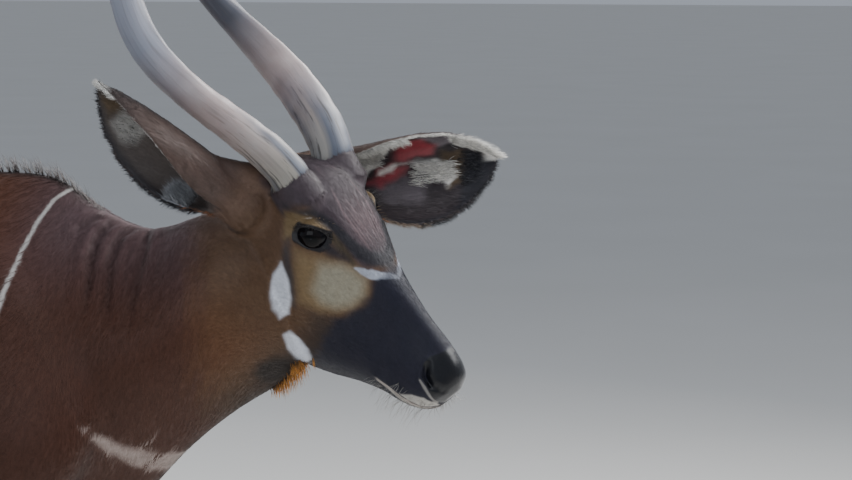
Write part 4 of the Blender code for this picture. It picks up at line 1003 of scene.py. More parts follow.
def body_stripes(points, look, spread=0.0):
    """How much places lie on the thin white stripes, which can be spread by a distance."""
    x, y, z = points.T
    wander = 0.0045 * mottle(points, 0.11, 2)
    ragged = 0.0010 * mottle(points, 0.014, 3)
    widths = np.array((0.0022, 0.0026, 0.0028, 0.0028, 0.0026, 0.0016)) + spread
    first = folded(points)[:, [0, 2]] + ragged[:, None] * 0.6
    white = stroke(first, FIRST_STRIPE, widths, 0.0014) * ramp(z, 0.58, 0.62)
    for k in range(look.stripes):
        share = k / (look.stripes - 1)
        middle = -0.085 - 0.740 * share
        lean = -0.10 + 0.22 * share
        low = 0.74 - 0.05 * math.sin(2.1 * k) + 0.07 * share
        along = middle - lean * (1.12 - z) + wander + 0.010 * math.sin(1.7 * k)
        half = 0.0034 + 0.0008 * math.sin(3.3 * k) + ragged + spread
        stripe = 1 - ramp(abs(x - along), half - 0.0014, half + 0.0014)
        white = np.maximum(white, stripe * ramp(z, low, low + 0.05) * ramp(abs(y), 0.004, 0.016))
    return white


def paint_body(points, out, look):
    """Chestnut coat with thin white stripes, dark belly, black and white legs, and painted light and shade
    on the back and neck.
    """
    x, y, z = points.T
    sign = np.where(y >= 0, 1.0, -1.0)
    p = folded(points)
    inner = -out[:, 1] * sign
    colours = np.tile(np.array(look.chestnut), (len(points), 1))
    patchy = 0.5 + 0.5 * mottle(points, 0.16, 1)
    colours = mix(colours, 0.35 * patchy, CHESTNUT_DARK)
    neck = ramp(x, -0.04, 0.10)
    colours = mix(colours, 0.45 * neck * (1 - ramp(z, 0.85, 1.08)), CHESTNUT_DARK)
    # Painted light: the top of the back lighter, and a cool painted sheen on the top of the neck
    colours = mix(colours, 0.40 * ramp(z, 1.00, 1.13) * (1 - neck), CHESTNUT_LIT)
    colours = mix(colours, 0.65 * ramp(z, 0.96, 1.10) * neck, NECK_TOP_SHEEN)
    belly = (1 - ramp(z, 0.62, 0.72)) * ramp(-out[:, 2], 0.25, 0.75) * ramp(z, 0.54, 0.60)
    colours = mix(colours, 0.85 * belly, BELLY)
    spine = bell(y, 0.012) * ramp(out[:, 2], 0.5, 0.9) * ramp(z, 1.0, 1.06)
    colours = mix(colours, 0.75 * spine * (1 - ramp(x, 0.06, 0.14)), BRISTLE)
    crease, swell = neck_folds(points)
    # Locks of the neck's hair, drawn out downwards, with painted shade in the creases of the folds and
    # painted highlight on the swells beside them
    locks = mottle(p * (1, 1, 0.12), 0.009, 4)
    shade = 1 + 0.20 * swell - 0.44 * crease + 0.09 * locks * neck
    colours = colours * shade[:, None]
    white = body_stripes(points, look)
    edge = 0.0016 * mottle(points * (1, 1, 0.4), 0.005, 6)
    crescent_widths = (0.0004, 0.0026, 0.0048, 0.0062, 0.0090, 0.0112, 0.0112)
    crescent = stroke(p[:, 1:] + edge[:, None], CRESCENT, crescent_widths, 0.0020) * (x > 0.10)
    colours = mix(colours, 0.92 * white, look.white)
    colours = mix(colours, 0.85 * crescent, look.crescent)
    return paint_legs(points, out, inner, colours)


def paint_legs(points, out, inner, colours):
    x, _, z = points.T
    fore = x > -0.45
    thigh = ramp(inner, 0.2, 0.7) * (1 - ramp(z, 0.62, 0.72)) * ramp(z, 0.42, 0.50) * ~fore
    colours = mix(colours, 0.55 * thigh, LEG_WHITE)
    leg = 1 - ramp(z, 0.50, 0.56)
    front = ramp(out[:, 0], 0.05, 0.55)
    colours = mix(colours, 0.85 * leg * front, LEG_BLACK)
    ring = bell(z - np.where(fore, 0.485, 0.545), 0.030) * ramp(inner, -0.2, 0.4)
    colours = mix(colours, 0.85 * ring, LEG_BLACK)
    patch_high = bell(z - np.where(fore, 0.425, 0.475), 0.026) * ramp(inner, 0.0, 0.5)
    colours = mix(colours, 0.90 * patch_high, LEG_WHITE)
    cannon = (1 - ramp(z, 0.27, 0.34)) * ramp(z, 0.135, 0.165) * ramp(inner - out[:, 0], 0.2, 0.8)
    colours = mix(colours, 0.90 * cannon, LEG_WHITE)
    fetlock = bell(z - 0.118, 0.022)
    colours = mix(colours, 0.92 * fetlock, LEG_BLACK)
    pastern = bell(z - 0.078, 0.012) * ramp(abs(out[:, 1]), 0.15, 0.5) * ramp(out[:, 0], -0.2, 0.3)
    colours = mix(colours, 0.92 * (1 - ramp(z, 0.085, 0.110)), LEG_BLACK)
    colours = mix(colours, 0.92 * pastern, LEG_WHITE)
    tail = ramp(-x, 1.035, 1.055) * ramp(z, 0.55, 0.58)
    colours = mix(colours, 0.8 * tail * ramp(-out[:, 0], 0.2, 0.8), CHESTNUT_DARK)
    return mix(colours, 0.95 * tail * (1 - ramp(z, 0.70, 0.80)), BRISTLE)


def paint_face(face, colours, look):
    """Markings of the head, alike on both sides, with painted shade behind the eye, under the jaw and on the
    middle of the forehead. Returns the colours and how bare the skin is.
    """
    f = folded(face)
    x, y, z = f.T
    colours = mix(colours, np.full(len(f), 0.85), CHEEK)
    colours = mix(colours, 0.25 * (0.5 + 0.5 * mottle(f, 0.030, 5)), CHESTNUT_DARK)
    colours = mix(colours, 0.60 * (1 - ramp(x, -0.15, -0.10)), POLL)
    colours = mix(colours, 0.42 * ramp(-z, 0.10, 0.19) * (1 - ramp(x, -0.01, 0.04)), CHEEK_LOW)
    wander = 0.003 * mottle(f, 0.020, 14)
    muzzle_from = x - np.interp(z, MUZZLE_Z, MUZZLE_X) + wander
    # Painted shade under the head: the lower jaw darker behind the muzzle
    colours = mix(colours, 0.80 * ramp(muzzle_from, -0.050, -0.004) * ramp(-z, 0.055, 0.090), JAW_SHADE)
    side = np.interp(x, FOREHEAD_X, FOREHEAD_Y)
    top = ramp(side - y, -0.005, 0.005) * ramp(z, -0.026, -0.012) * (1 - ramp(x, 0.018, 0.040))
    top = top * ramp(x, -0.160, -0.125)
    colours = mix(colours, 0.94 * top, look.forehead)
    # Painted shade darkening the middle of the forehead
    colours = mix(colours, 0.5 * top * (1 - ramp(y, 0.010, 0.038)) * ramp(x, -0.10, -0.04), BROW)
    rust = bell(np.linalg.norm((f - (-0.022, 0.008, 0.020)) / (1.7, 0.8, 1.0), axis=1), 0.024)
    colours = mix(colours, 0.60 * rust * top, RUST)
    streaks = np.maximum(0, mottle(f * (0.20, 1, 1), 0.005, 7)) * rust
    colours = mix(colours, 0.45 * streaks * top, PARTING)
    colours = mix(colours, 0.38 * stroke(f, PARTING_LINE, (0.0004, 0.0010, 0.0016, 0.0022, 0.0012), 0.0014),
                  PARTING)
    colours = mix(colours, 0.85 * patch(f, TAN_PATCH, 0.011), TAN)
    cream = patch(f, CREAM_PATCH, 0.011) * (0.92 + 0.08 * mottle(f, 0.010, 8))
    colours = mix(colours, 0.96 * cream, look.cream)
    muzzle = ramp(muzzle_from, -0.010, 0.007)
    colours = mix(colours, muzzle, look.muzzle)
    colours = mix(colours, 0.10 * muzzle * (0.5 + 0.5 * mottle(f, 0.035, 9)), look.forehead)
    colours = mix(colours, 0.9 * patch(f, LID_PATCH, 0.0035), LID)
    for line in LID_LINES:
        colours = mix(colours, 0.6 * stroke(f, line, (0.0002, 0.0012, 0.0004), 0.0008), LIP)
    colours = mix(colours, 0.85 * stroke(f, OLIVE_STRIPE, (0.002, 0.005, 0.005, 0.003), 0.003), OLIVE)
    colours = mix(colours, 0.95 * stroke(f, BROW_BAND, BROW_WIDTHS, 0.0042), BROW)
    # Painted shadow behind the eye
    colours = mix(colours, 0.85 * stroke(f, EYE_BACK_SHADOW_LINE, (0.002, 0.006, 0.006, 0.004, 0.002), 0.006), EYE_BACK_SHADE)
    colours = mix(colours, 0.85 * stroke(f, TEAR_LINE, (0.0045, 0.0072, 0.0056, 0.0018), 0.006), TEAR)
    for spot in (SPOT_HIGH, SPOT_LOW):
        colours = mix(colours, 0.97 * patch(f + 0.3 * wander[:, None], spot, 0.0034), SPOT)
    ragged = 0.0018 * mottle(f, 0.007, 11)
    chevron = stroke(f + ragged[:, None], CHEVRON, CHEVRON_WIDTHS, 0.0016)
    colours = mix(colours, (0.90 - 0.60 * ramp(x, 0.040, 0.052)) * chevron, CHEVRON_TONE)
    return paint_mouth(f, colours)


def paint_mouth(f, colours):
    """Nose pad, lips and the bare rims of the lids, and painted shade in the nostrils, mouth line and under
    the upper lid.
    """
    x, _, z = f.T
    pad = 1 - ramp(outline_distance(f[:, [0, 2]], NOSE_PAD), -0.0012, 0.0012)
    edge = stroke(f, PAD_EDGE, (0.0012, 0.0024, 0.0030, 0.0026), 0.0010)
    colours = mix(colours, 0.45 * edge, LIP)
    colours = mix(colours, 0.9 * patch(f, UPPER_LIP, 0.0020), LIP)
    line = np.interp(x, [p[0] for p in MOUTH], [p[2] for p in MOUTH])
    deep = np.interp(x, (0.138, 0.160, 0.190, 0.216), (0.003, 0.009, 0.016, 0.018))
    lower = ramp(line - z, -0.001, 0.001) * (1 - ramp(line - z - deep, -0.003, 0.003))
    lower = lower * ramp(x, 0.134, 0.142)
    colours = mix(colours, 0.92 * lower, LIP)
    colours = mix(colours, 0.5 * lower * (1 - ramp(line - z, 0.002, 0.008)), LIP_PINK)
    colours = mix(colours, pad, PAD)
    # Painted shade in the mouth line and inside the nostrils
    mouth_line_shade = stroke(f, MOUTH, (0.0010, 0.0016, 0.0018, 0.0016), 0.0008)
    nostril_shade = stroke(f, NOSTRIL, (0.0032, 0.0056, 0.0056, 0.0040), 0.0014)
    _, _, almond, _, v, w = eye_chart(f)
    # A dark bare rim round the eye, wider under the upper lid as painted shadow of the lid
    wide = 1.08 + 0.10 * ramp(v, -0.2, 0.5)
    rim = (1 - ramp(almond, wide, wide + 0.10)) * ramp(w, 0.24, 0.36)
    rim = rim * (np.linalg.norm(f - EYE_AT, axis=1) < 0.028)
    colours = mix(colours, 0.95 * np.maximum(mouth_line_shade, nostril_shade), RIM_AND_HOLE_SHADE)
    colours = mix(colours, 0.95 * rim, RIM_AND_HOLE_SHADE)
    return colours, np.maximum.reduce([pad, mouth_line_shade, nostril_shade, 0.55 * rim])


def ear_chart(face, side):
    """Ear points: share of its length, turn from one rim to the other, and whether inside the cup."""
    root, along, opening, across = ear_axes(side)
    u = np.clip((face - root) @ along / EAR_LENGTH[side], 0, 1)
    centre, radius, half = ear_centre(side, u)
    q = face - centre
    aside, deep = q @ across, -(q @ opening) / EAR_DEEP
    turn = np.arctan2(aside, deep) / half
    reach = np.hypot(aside, deep) / radius
    return u, turn, (1 - ramp(reach, 0.985, 1.015)) * ramp(u, 0.05, 0.12)


# Zones of the cups: outline as share of the length and turn, softness, amount and colour
EAR_ZONES = {
    "left": (
        (((0.35, 0.15), (0.50, 0.00), (0.62, 0.12), (0.60, 0.45), (0.40, 0.40)), 0.030, 0.45, EAR_MAUVE),
        (((0.70, -0.45), (0.80, -0.50), (0.83, -0.10), (0.80, 0.35), (0.74, 0.34), (0.70, 0.00)), 0.020, 0.8,
         EAR_TAN),
        (((0.83, -0.50), (0.81, 0.15), (0.80, 0.55), (0.76, 0.95), (0.92, 1.05), (1.00, 0.20),
          (0.96, -0.40)),
         0.016, 0.95, EAR_BLACK),
        (((0.50, -0.95), (0.58, -0.80), (0.70, -0.55), (0.76, -0.70), (0.74, -0.97)), 0.016, 0.7, EAR_MAUVE),
        (((0.46, -0.51), (0.50, -0.74), (0.58, -0.78), (0.66, -0.58), (0.65, -0.36), (0.56, -0.26),
          (0.46, -0.24)),
         0.028, 0.95, EAR_PINK),
        (((0.31, 0.10), (0.37, -0.10), (0.44, -0.22), (0.54, -0.17), (0.47, 0.02), (0.38, 0.16)), 0.022,
         0.95, EAR_PINK),
        (((0.34, 0.02), (0.46, -0.24), (0.55, -0.20), (0.61, -0.04), (0.69, 0.12), (0.73, 0.29),
          (0.78, 0.17),
          (0.76, -0.07), (0.68, -0.28), (0.58, -0.32)), 0.012, 0.85, EAR_FUR),
        (((0.52, -0.30), (0.56, -0.24), (0.65, -0.24), (0.65, -0.34), (0.58, -0.36)), 0.010, 0.75,
         EAR_BLACK),
        (((0.31, -0.02), (0.36, -0.21), (0.41, -0.47), (0.45, -0.79), (0.50, -1.10), (0.10, -1.10),
          (0.08, -0.30),
          (0.20, 0.00)), 0.010, 0.95, EAR_FUR),
        (((0.44, -0.93), (0.78, -0.93), (0.78, -1.10), (0.44, -1.10)), 0.010, 0.9, EAR_FUR),
        (((0.73, -1.10), (0.75, -0.72), (0.82, -0.66), (0.88, -0.60), (0.96, -0.50), (1.05, -0.10),
          (1.05, -1.10)),
         0.012, 0.97, EAR_FUR),
    ),
    "right": (
        (((0.94, 0.60), (0.91, -0.30), (0.84, -0.60), (0.79, -0.10), (0.86, 0.75)), 0.030, 0.8, EAR_TAN),
        (((0.83, 0.69), (0.79, 0.20), (0.72, -0.55), (0.63, -0.90), (0.58, -0.60), (0.65, 0.49),
          (0.74, 0.78)),
         0.034, 0.85, EAR_GREY),
        (((0.72, -1.00), (0.69, -0.72), (0.62, -0.68), (0.56, -0.98)), 0.014, 0.7, EAR_PINK),
        (((0.38, 0.70), (0.32, 0.56), (0.24, 0.54), (0.20, 0.75), (0.24, 1.05), (0.34, 1.05)), 0.020, 0.8,
         EAR_TUFT),
        (((0.25, -0.96), (0.80, -0.94), (0.80, -1.10), (0.25, -1.10)), 0.008, 0.75, EAR_FUR),
        (((1.05, 0.40), (0.97, -0.15), (0.93, -0.45), (0.88, -0.66), (0.76, -0.88), (0.74, -1.10),
          (1.05, -1.10)),
         0.016, 0.97, EAR_FUR),
    ),
}


def paint_ear(face, side, colours):
    """Brown back, and a dark cup with its bare pink skin, white fur and black tip."""
    u, turn, inside = ear_chart(face, side)
    grain = mottle(face, 0.016, 13)
    back = mix(colours, np.full(len(face), 0.85) * ramp(u, 0.0, 0.15), EAR_BACK)
    back = back * (1 + 0.12 * grain)[:, None]
    back = mix(back, 0.55 * ramp(u, 0.55, 0.95), EAR_CUP_BY_LIGHT[side])
    back = mix(back, 0.85 * ramp(u, 0.80, 0.92) * ramp(turn, -0.5, 0.1), EAR_BLACK)
    # The cup's colour is painted lighter on the right ear and darker on the left one, as painted light
    cup = mix(back, np.full(len(face), 0.94), EAR_CUP_BY_LIGHT[side])
    cup = mix(cup, 0.85 * ramp(turn, 0.80, 1.0) * ramp(u, 0.15, 0.30), EAR_BLACK)
    chart = np.stack([u, 0.3 * turn], axis=1)
    bare = np.zeros(len(face))
    for outline, soft, amount, colour in EAR_ZONES[side]:
        away = outline_distance(chart, np.array(outline) * (1, 0.3)) + 0.014 * grain
        zone = 1 - ramp(away, -soft, soft)
        cup = mix(cup, amount * zone, colour)
        bare = np.maximum(bare, zone * inside) if colour is EAR_PINK else bare * (1 - zone)
    colours = back * (1 - inside[:, None]) + cup * inside[:, None]
    tip = ramp(u, 0.90, 0.97) * ramp(-turn, 0.0, 0.3)
    return mix(colours, 0.9 * tip, EAR_FUR), bare


def cheek_side(points):
    """How far places lie past the ragged edge where the neck's colour ends."""
    ragged = 0.010 * mottle(points * (1, 1, 0.15), 0.014, 15)
    return points[:, 0] - np.interp(points[:, 2], *NECK_EDGE) + ragged


def paint(points, out, part):
    """Colour of the coat at places of the skin, and how bare the skin is there."""
    look = bpy.context.scene.bongo_coat
    face = to_frame(points, HEAD_FRAME)
    colours = paint_body(points, out, look)
    painted, bare = paint_face(face, colours, look)
    ahead = ramp(cheek_side(points), -0.030, 0.030)
    colours = colours * (1 - ahead[:, None]) + painted * ahead[:, None]
    bare = bare * ahead
    # Painted shade on the throat under the jaw
    colours = mix(colours, 0.9 * patch(folded(face), THROAT_SHADE_PATCH, 0.010), THROAT_SHADE)
    for side, number in EAR_PARTS:
        here = part == number
        colours[here], bare[here] = paint_ear(face[here], side, colours[here])
    return np.clip(colours, 0, 1), bare


def lie_of_coat(points, out, part):
    """The way the hair lies at places of the skin."""
    x, y, z = points.T
    face = to_frame(points, HEAD_FRAME)
    count = len(points)
    lie = mix(np.tile((-0.8, 0.0, -0.85), (count, 1)), ramp(x, 0.00, 0.14), (-0.25, 0.0, -1.0))
    lie = mix(lie, 1 - ramp(z, 0.58, 0.75), (-0.20, 0.0, -1.0))
    lie = mix(lie, ramp(-x, 0.88, 1.0), (-0.3, 0.0, -1.0))
    low = ramp(-face[:, 2], 0.06, 0.16)
    ways = np.stack([-np.ones(count), np.zeros(count), -0.35 * low], axis=1)
    ahead = ramp(head_side(points), -0.03, 0.03)
    lie = mix(lie, ahead, way_out(ways))
    # Over the top of the neck the hair parts and runs down both sides, along the folds
    parted = ramp(x, 0.06, 0.10) * ramp(z, 0.95, 1.05) * (1 - ahead)
    aside = np.stack([np.full(count, -0.1), np.where(y < 0, -1.2, 1.2), np.full(count, -1.0)], axis=1)
    lie = mix(lie, parted, aside)
    for side, number in EAR_PARTS:
        here = part == number
        _, along, _, across = ear_axes(side)
        _, turn, _ = ear_chart(face[here], side)
        swing = 0.9 * turn * ramp(abs(turn), 0.3, 0.9)
        lie[here] = way_out(along + across * swing[:, None])
    lie = lie - out * (lie * out).sum(axis=1)[:, None]
    return unit(lie)


def quick_mesh(name, verts, tris, colours, uvs, ways=None):
    """A mesh of triangles with a colour at each vertex and a place on the unwrap at each corner.

    Ways are normals given to the vertices, so that flat hair takes the light as the skin does.
    """
    mesh = bpy.data.meshes.new(name)
    mesh.vertices.add(len(verts))
    mesh.vertices.foreach_set("co", np.asarray(verts, np.float32).ravel())
    mesh.loops.add(len(tris) * 3)
    mesh.loops.foreach_set("vertex_index", np.asarray(tris, np.int32).ravel())
    mesh.polygons.add(len(tris))
    mesh.polygons.foreach_set("loop_start", np.arange(0, len(tris) * 3, 3, dtype=np.int32))
    mesh.update(calc_edges=True)
    store_colour(mesh, colours)
    layer = mesh.uv_layers.new(name="OFBake")
    layer.uv.foreach_set("vector", np.asarray(uvs, np.float32).ravel())
    mesh.validate()
    if ways is not None:
        mesh.shade_smooth()
        shading = mesh.attributes.new("custom_normal", "FLOAT_VECTOR", "POINT")
        shading.data.foreach_set("vector", np.asarray(ways, np.float32).ravel())
    return mesh


def store_colour(mesh, colours):
    layer = mesh.color_attributes.new("tone", "FLOAT_COLOR", "POINT")
    full = np.ones((len(colours), 4), np.float32)
    full[:, :3] = colours
    layer.data.foreach_set("color", full.ravel())


def store_share(mesh, name, values):
    layer = mesh.attributes.new(name, "FLOAT", "POINT")
    layer.data.foreach_set("value", np.asarray(values, np.float32))


def put(name, mesh, finish, replaces=()):
    """A finished piece in the scene, moved from withers axes to the middle of the box."""
    mesh.transform(Matrix.Translation(WITHERS))
    obj = bpy.data.objects.new(name, mesh)
    bpy.context.scene.collection.objects.link(obj)
    mesh.materials.clear()
    mesh.materials.append(finish)
    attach(obj, "root")
    if replaces:
        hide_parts(*replaces)
    return obj


class Skin:
    """What the coat needs to know of the skin's mesh, in withers axes."""

    def __init__(self):
        mesh = bpy.data.objects["skin"].data
        self.points = coordinates(mesh) - np.array(WITHERS)
        self.out = normals(mesh)
        self.tris = triangles(mesh)
        self.part = np.empty(len(self.points), np.int32)
        mesh.attributes["part"].data.foreach_get("value", self.part)
        self.bare = np.empty(len(self.points), np.float32)
        mesh.attributes["bare"].data.foreach_get("value", self.bare)
        loops = np.empty(len(self.tris) * 3, np.int32)
        mesh.loop_triangles.foreach_get("loops", loops)
        flat = np.empty(len(mesh.loops) * 2, np.float32)
        mesh.uv_layers["OFBake"].uv.foreach_get("vector", flat)
        self.uv = flat.reshape(-1, 2)[loops].reshape(-1, 3, 2)
        corners = self.points[self.tris]
        cross = np.cross(corners[:, 1] - corners[:, 0], corners[:, 2] - corners[:, 0])
        self.area = np.linalg.norm(cross, axis=1) / 2

    def at(self, chosen, weights):
        """Places, normals, unwrap places and parts on chosen triangles."""
        tri = self.tris[chosen]
        w = weights[:, :, None]
        points = (self.points[tri] * w).sum(axis=1)
        out = unit((self.out[tri] * w).sum(axis=1))
        return points, out, (self.uv[chosen] * w).sum(axis=1), self.part[tri[:, 0]]

    def scatter(self, rng, density):
        """Random places, spread by a density given for each vertex."""
        amount = self.area * density[self.tris].mean(axis=1)
        total = np.cumsum(amount)
        count = int(total[-1])
        chosen = np.searchsorted(total, rng.random(count) * total[-1])
        a, b = rng.random(count), rng.random(count)
        over = a + b > 1
        a[over], b[over] = 1 - a[over], 1 - b[over]
        return self.at(chosen, np.stack([a, b, 1 - a - b], axis=1))

    def nearest(self, points):
        """Places on the skin nearest to the given ones."""
        tree = BVHTree.FromPolygons(self.points.tolist(), self.tris.tolist())
        found = [tree.find_nearest(p)[2] for p in points.tolist()]
        chosen = np.array(found)
        corners = self.points[self.tris[chosen]]
        away = np.linalg.norm(corners - np.asarray(points)[:, None], axis=2)
        weights = 1 / (away + 1e-5)
        return self.at(chosen, weights / weights.sum(axis=1, keepdims=True))


def tufts(points, out, lie, length, width, lift, roll, roots, tips, uvs):
    """Thin closed wedges of hair, each with a broad root and one tip."""
    side = unit(np.cross(lie, out))
    lean = lie * np.cos(lift)[:, None] + out * np.sin(lift)[:, None]
    flat = side * np.cos(roll)[:, None] + out * np.sin(roll)[:, None]
    half = flat * (width / 2)[:, None]
    verts = np.stack([
        points - half,
        points + half,
        points - out * (0.45 * width)[:, None],
        points + lean * length[:, None],
    ], axis=1)
    count = len(points)
    base = np.arange(count)[:, None, None] * 4
    tris = base + np.array([[0, 1, 3], [0, 3, 2], [1, 2, 3], [0, 2, 1]])
    # Roots painted darker and tips lighter, as painted shade down among the hairs
    tone = np.stack([roots * 0.93, roots * 0.93, roots * 0.8, np.minimum(tips * 1.04, 1)], axis=1)
    spots = np.array([[0.0, 0.0], [0.003, 0.0], [0.0015, 0.0006], [0.0015, 0.003]])
    patchy = uvs[:, None, :] + spots - (0.0015, 0.0015)
    corner = patchy[:, np.array([0, 1, 3, 0, 3, 2, 1, 2, 3, 0, 2, 1])]
    own = np.cross(side * np.cos(roll)[:, None] + out * np.sin(roll)[:, None], lean)
    own = own * np.sign((own * out).sum(axis=1))[:, None]
    ways = np.repeat(unit(0.64 * out + 0.36 * own), 4, axis=0)
    return verts.reshape(-1, 3), tris.reshape(-1, 3), tone.reshape(-1, 3), corner.reshape(-1, 2), ways


def strands(points, along, bend, length, width, colours, uvs, rings=4, pale=1.0, flat=0.6, root=0.75):
    """Closed tapered hairs with three sides. They leave along one way and bend to another."""
    count = len(points)
    side = unit(np.cross(along, bend) + 1e-4 * np.array([0.3, 0.5, 0.8]))
    centre = points.copy()
    verts, tone = [], []
    for i in range(rings):
        t = i / rings
        ahead = unit(along * (1 - t) + bend * t)
        up = np.cross(ahead, side)
        radius = (width / 2 * (1 - t) ** 0.6)[:, None]
        for k in range(3):
            angle = 2 * math.pi * k / 3
            verts.append(centre + radius * (side * math.cos(angle) + flat * up * math.sin(angle)))
            tone.append(colours * (root + (pale - root) * t))
        centre = centre + ahead * (length / rings)[:, None]
    verts.append(centre)
    tone.append(colours * pale)
    tris = [(0, 2, 1)]
    for i in range(rings - 1):
        for k in range(3):
            a, b = 3 * i + k, 3 * i + (k + 1) % 3
            tris += [(a, b, b + 3), (a, b + 3, a + 3)]
    last = 3 * (rings - 1)
    tris += [(last + k, last + (k + 1) % 3, last + 3) for k in range(3)]
    size = 3 * rings + 1
    tris = np.array(tris)
    verts = np.stack(verts, axis=1)
    tone = np.clip(np.stack(tone, axis=1), 0, 1)
    share = np.linspace(0, 1, size)
    spots = np.stack([0.003 * (np.arange(size) % 3) / 2, 0.003 * share], axis=1) - 0.0015
    corner = (uvs[:, None, :] + spots)[:, tris.ravel()]
    tris = np.arange(count)[:, None, None] * size + tris
    return verts.reshape(-1, 3), tris.reshape(-1, 3), tone.reshape(-1, 3), corner.reshape(-1, 2)


def joined(parts):
    """Meshes of hair joined in one."""
    start, verts, tris = 0, [], []
    for part in parts:
        verts.append(part[0])
        tris.append(part[1] + start)
        start += len(part[0])
    return (np.concatenate(verts), np.concatenate(tris),
            np.concatenate([part[2] for part in parts]), np.concatenate([part[3] for part in parts]))


def node(tree, kind, settings=None, links=None):
    """A node with its settings and the sockets that its inputs are linked to."""
    made = tree.nodes.new(kind)
    for key, value in (settings or {}).items():
        if isinstance(key, str) and hasattr(made, key):
            setattr(made, key, value)
        else:
            made.inputs[key].default_value = value
    for key, socket in (links or {}).items():
        tree.links.new(socket, made.inputs[key])
    return made


def start_material(name, settings):
    """A new material with its shader, to which the other nodes are linked."""
    made = bpy.data.materials.new(name)
    made.use_nodes = True
    shader = made.node_tree.nodes["Principled BSDF"]
    for key, value in settings.items():
        shader.inputs[key].default_value = value
    return made, made.node_tree, shader


def per_metre(millimetres):
    """Texture scale at which one spot of the pattern is the given size."""
    return 1000.0 / millimetres


def skin_material():
    """Short hair lying flat on hide: soft broad gloss, and wet where the skin is bare."""
    look = {"Specular IOR Level": 0.30, "Sheen Weight": 0.12, "Sheen Roughness": 0.4, "Coat Roughness": 0.16}
    made, tree, shader = start_material("antelope_hide", look)
    place = node(tree, "ShaderNodeTexCoord")
    tone = node(tree, "ShaderNodeAttribute", {"attribute_name": "tone"})
    bare = node(tree, "ShaderNodeAttribute", {"attribute_name": "bare"})
    # Hairs about 0.8 mm apart, drawn longer than wide by squeezing the space along the body
    squeeze = node(tree, "ShaderNodeMapping", {"Scale": (0.25, 1.0, 0.5)},
                   {"Vector": place.outputs["Object"]})
    hair = node(tree, "ShaderNodeTexNoise", {"Scale": per_metre(1.6), "Detail": 4.0},
                {"Vector": squeeze.outputs["Vector"]})
    shade = node(tree, "ShaderNodeMapRange",
                 {"From Min": 0.3, "From Max": 0.7, "To Min": 0.86, "To Max": 1.10},
                 {"Value": hair.outputs["Fac"]})
    tint = node(tree, "ShaderNodeVectorMath", {"operation": "SCALE"},
                {0: tone.outputs["Color"], "Scale": shade.outputs["Result"]})
    # Pebbles of the nose pad, about 1.5 mm across
    pebble = node(tree, "ShaderNodeTexVoronoi", {"Scale": per_metre(1.5)},
                  {"Vector": place.outputs["Object"]})
    relief = node(tree, "ShaderNodeMix", {"data_type": "FLOAT"},
                  {0: bare.outputs["Fac"], 2: hair.outputs["Fac"], 3: pebble.outputs["Distance"]})
    bump = node(tree, "ShaderNodeBump", {"Strength": 0.35, "Distance": 0.0006},
                {"Height": relief.outputs[0]})
    gloss = node(tree, "ShaderNodeMapRange", {"To Min": 0.54, "To Max": 0.34},
                 {"Value": bare.outputs["Fac"]})
    tree.links.new(tint.outputs["Vector"], shader.inputs["Base Color"])
    tree.links.new(gloss.outputs["Result"], shader.inputs["Roughness"])
    wet = node(tree, "ShaderNodeMath", {"operation": "MULTIPLY", 1: 0.18}, {0: bare.outputs["Fac"]})
    tree.links.new(wet.outputs[0], shader.inputs["Coat Weight"])
    tree.links.new(bump.outputs["Normal"], shader.inputs["Normal"])
    return made


def hair_material(name, roughness, level):
    """Hair keratin: the coat's own colour with a soft gloss along each tuft."""
    look = {"Roughness": roughness, "Specular IOR Level": level, "Sheen Weight": 0.10,
            "Sheen Roughness": 0.4}
    made, tree, shader = start_material(name, look)
    tone = node(tree, "ShaderNodeAttribute", {"attribute_name": "tone"})
    place = node(tree, "ShaderNodeTexCoord")
    # Lighter and darker hairs in patches about 4 mm across
    spots = node(tree, "ShaderNodeTexNoise", {"Scale": per_metre(4.0), "Detail": 2.0},
                 {"Vector": place.outputs["Object"]})
    shade = node(tree, "ShaderNodeMapRange",
                 {"From Min": 0.3, "From Max": 0.7, "To Min": 0.88, "To Max": 1.12},
                 {"Value": spots.outputs["Fac"]})
    tint = node(tree, "ShaderNodeVectorMath", {"operation": "SCALE"},
                {0: tone.outputs["Color"], "Scale": shade.outputs["Result"]})
    tree.links.new(tint.outputs["Vector"], shader.inputs["Base Color"])
    return made


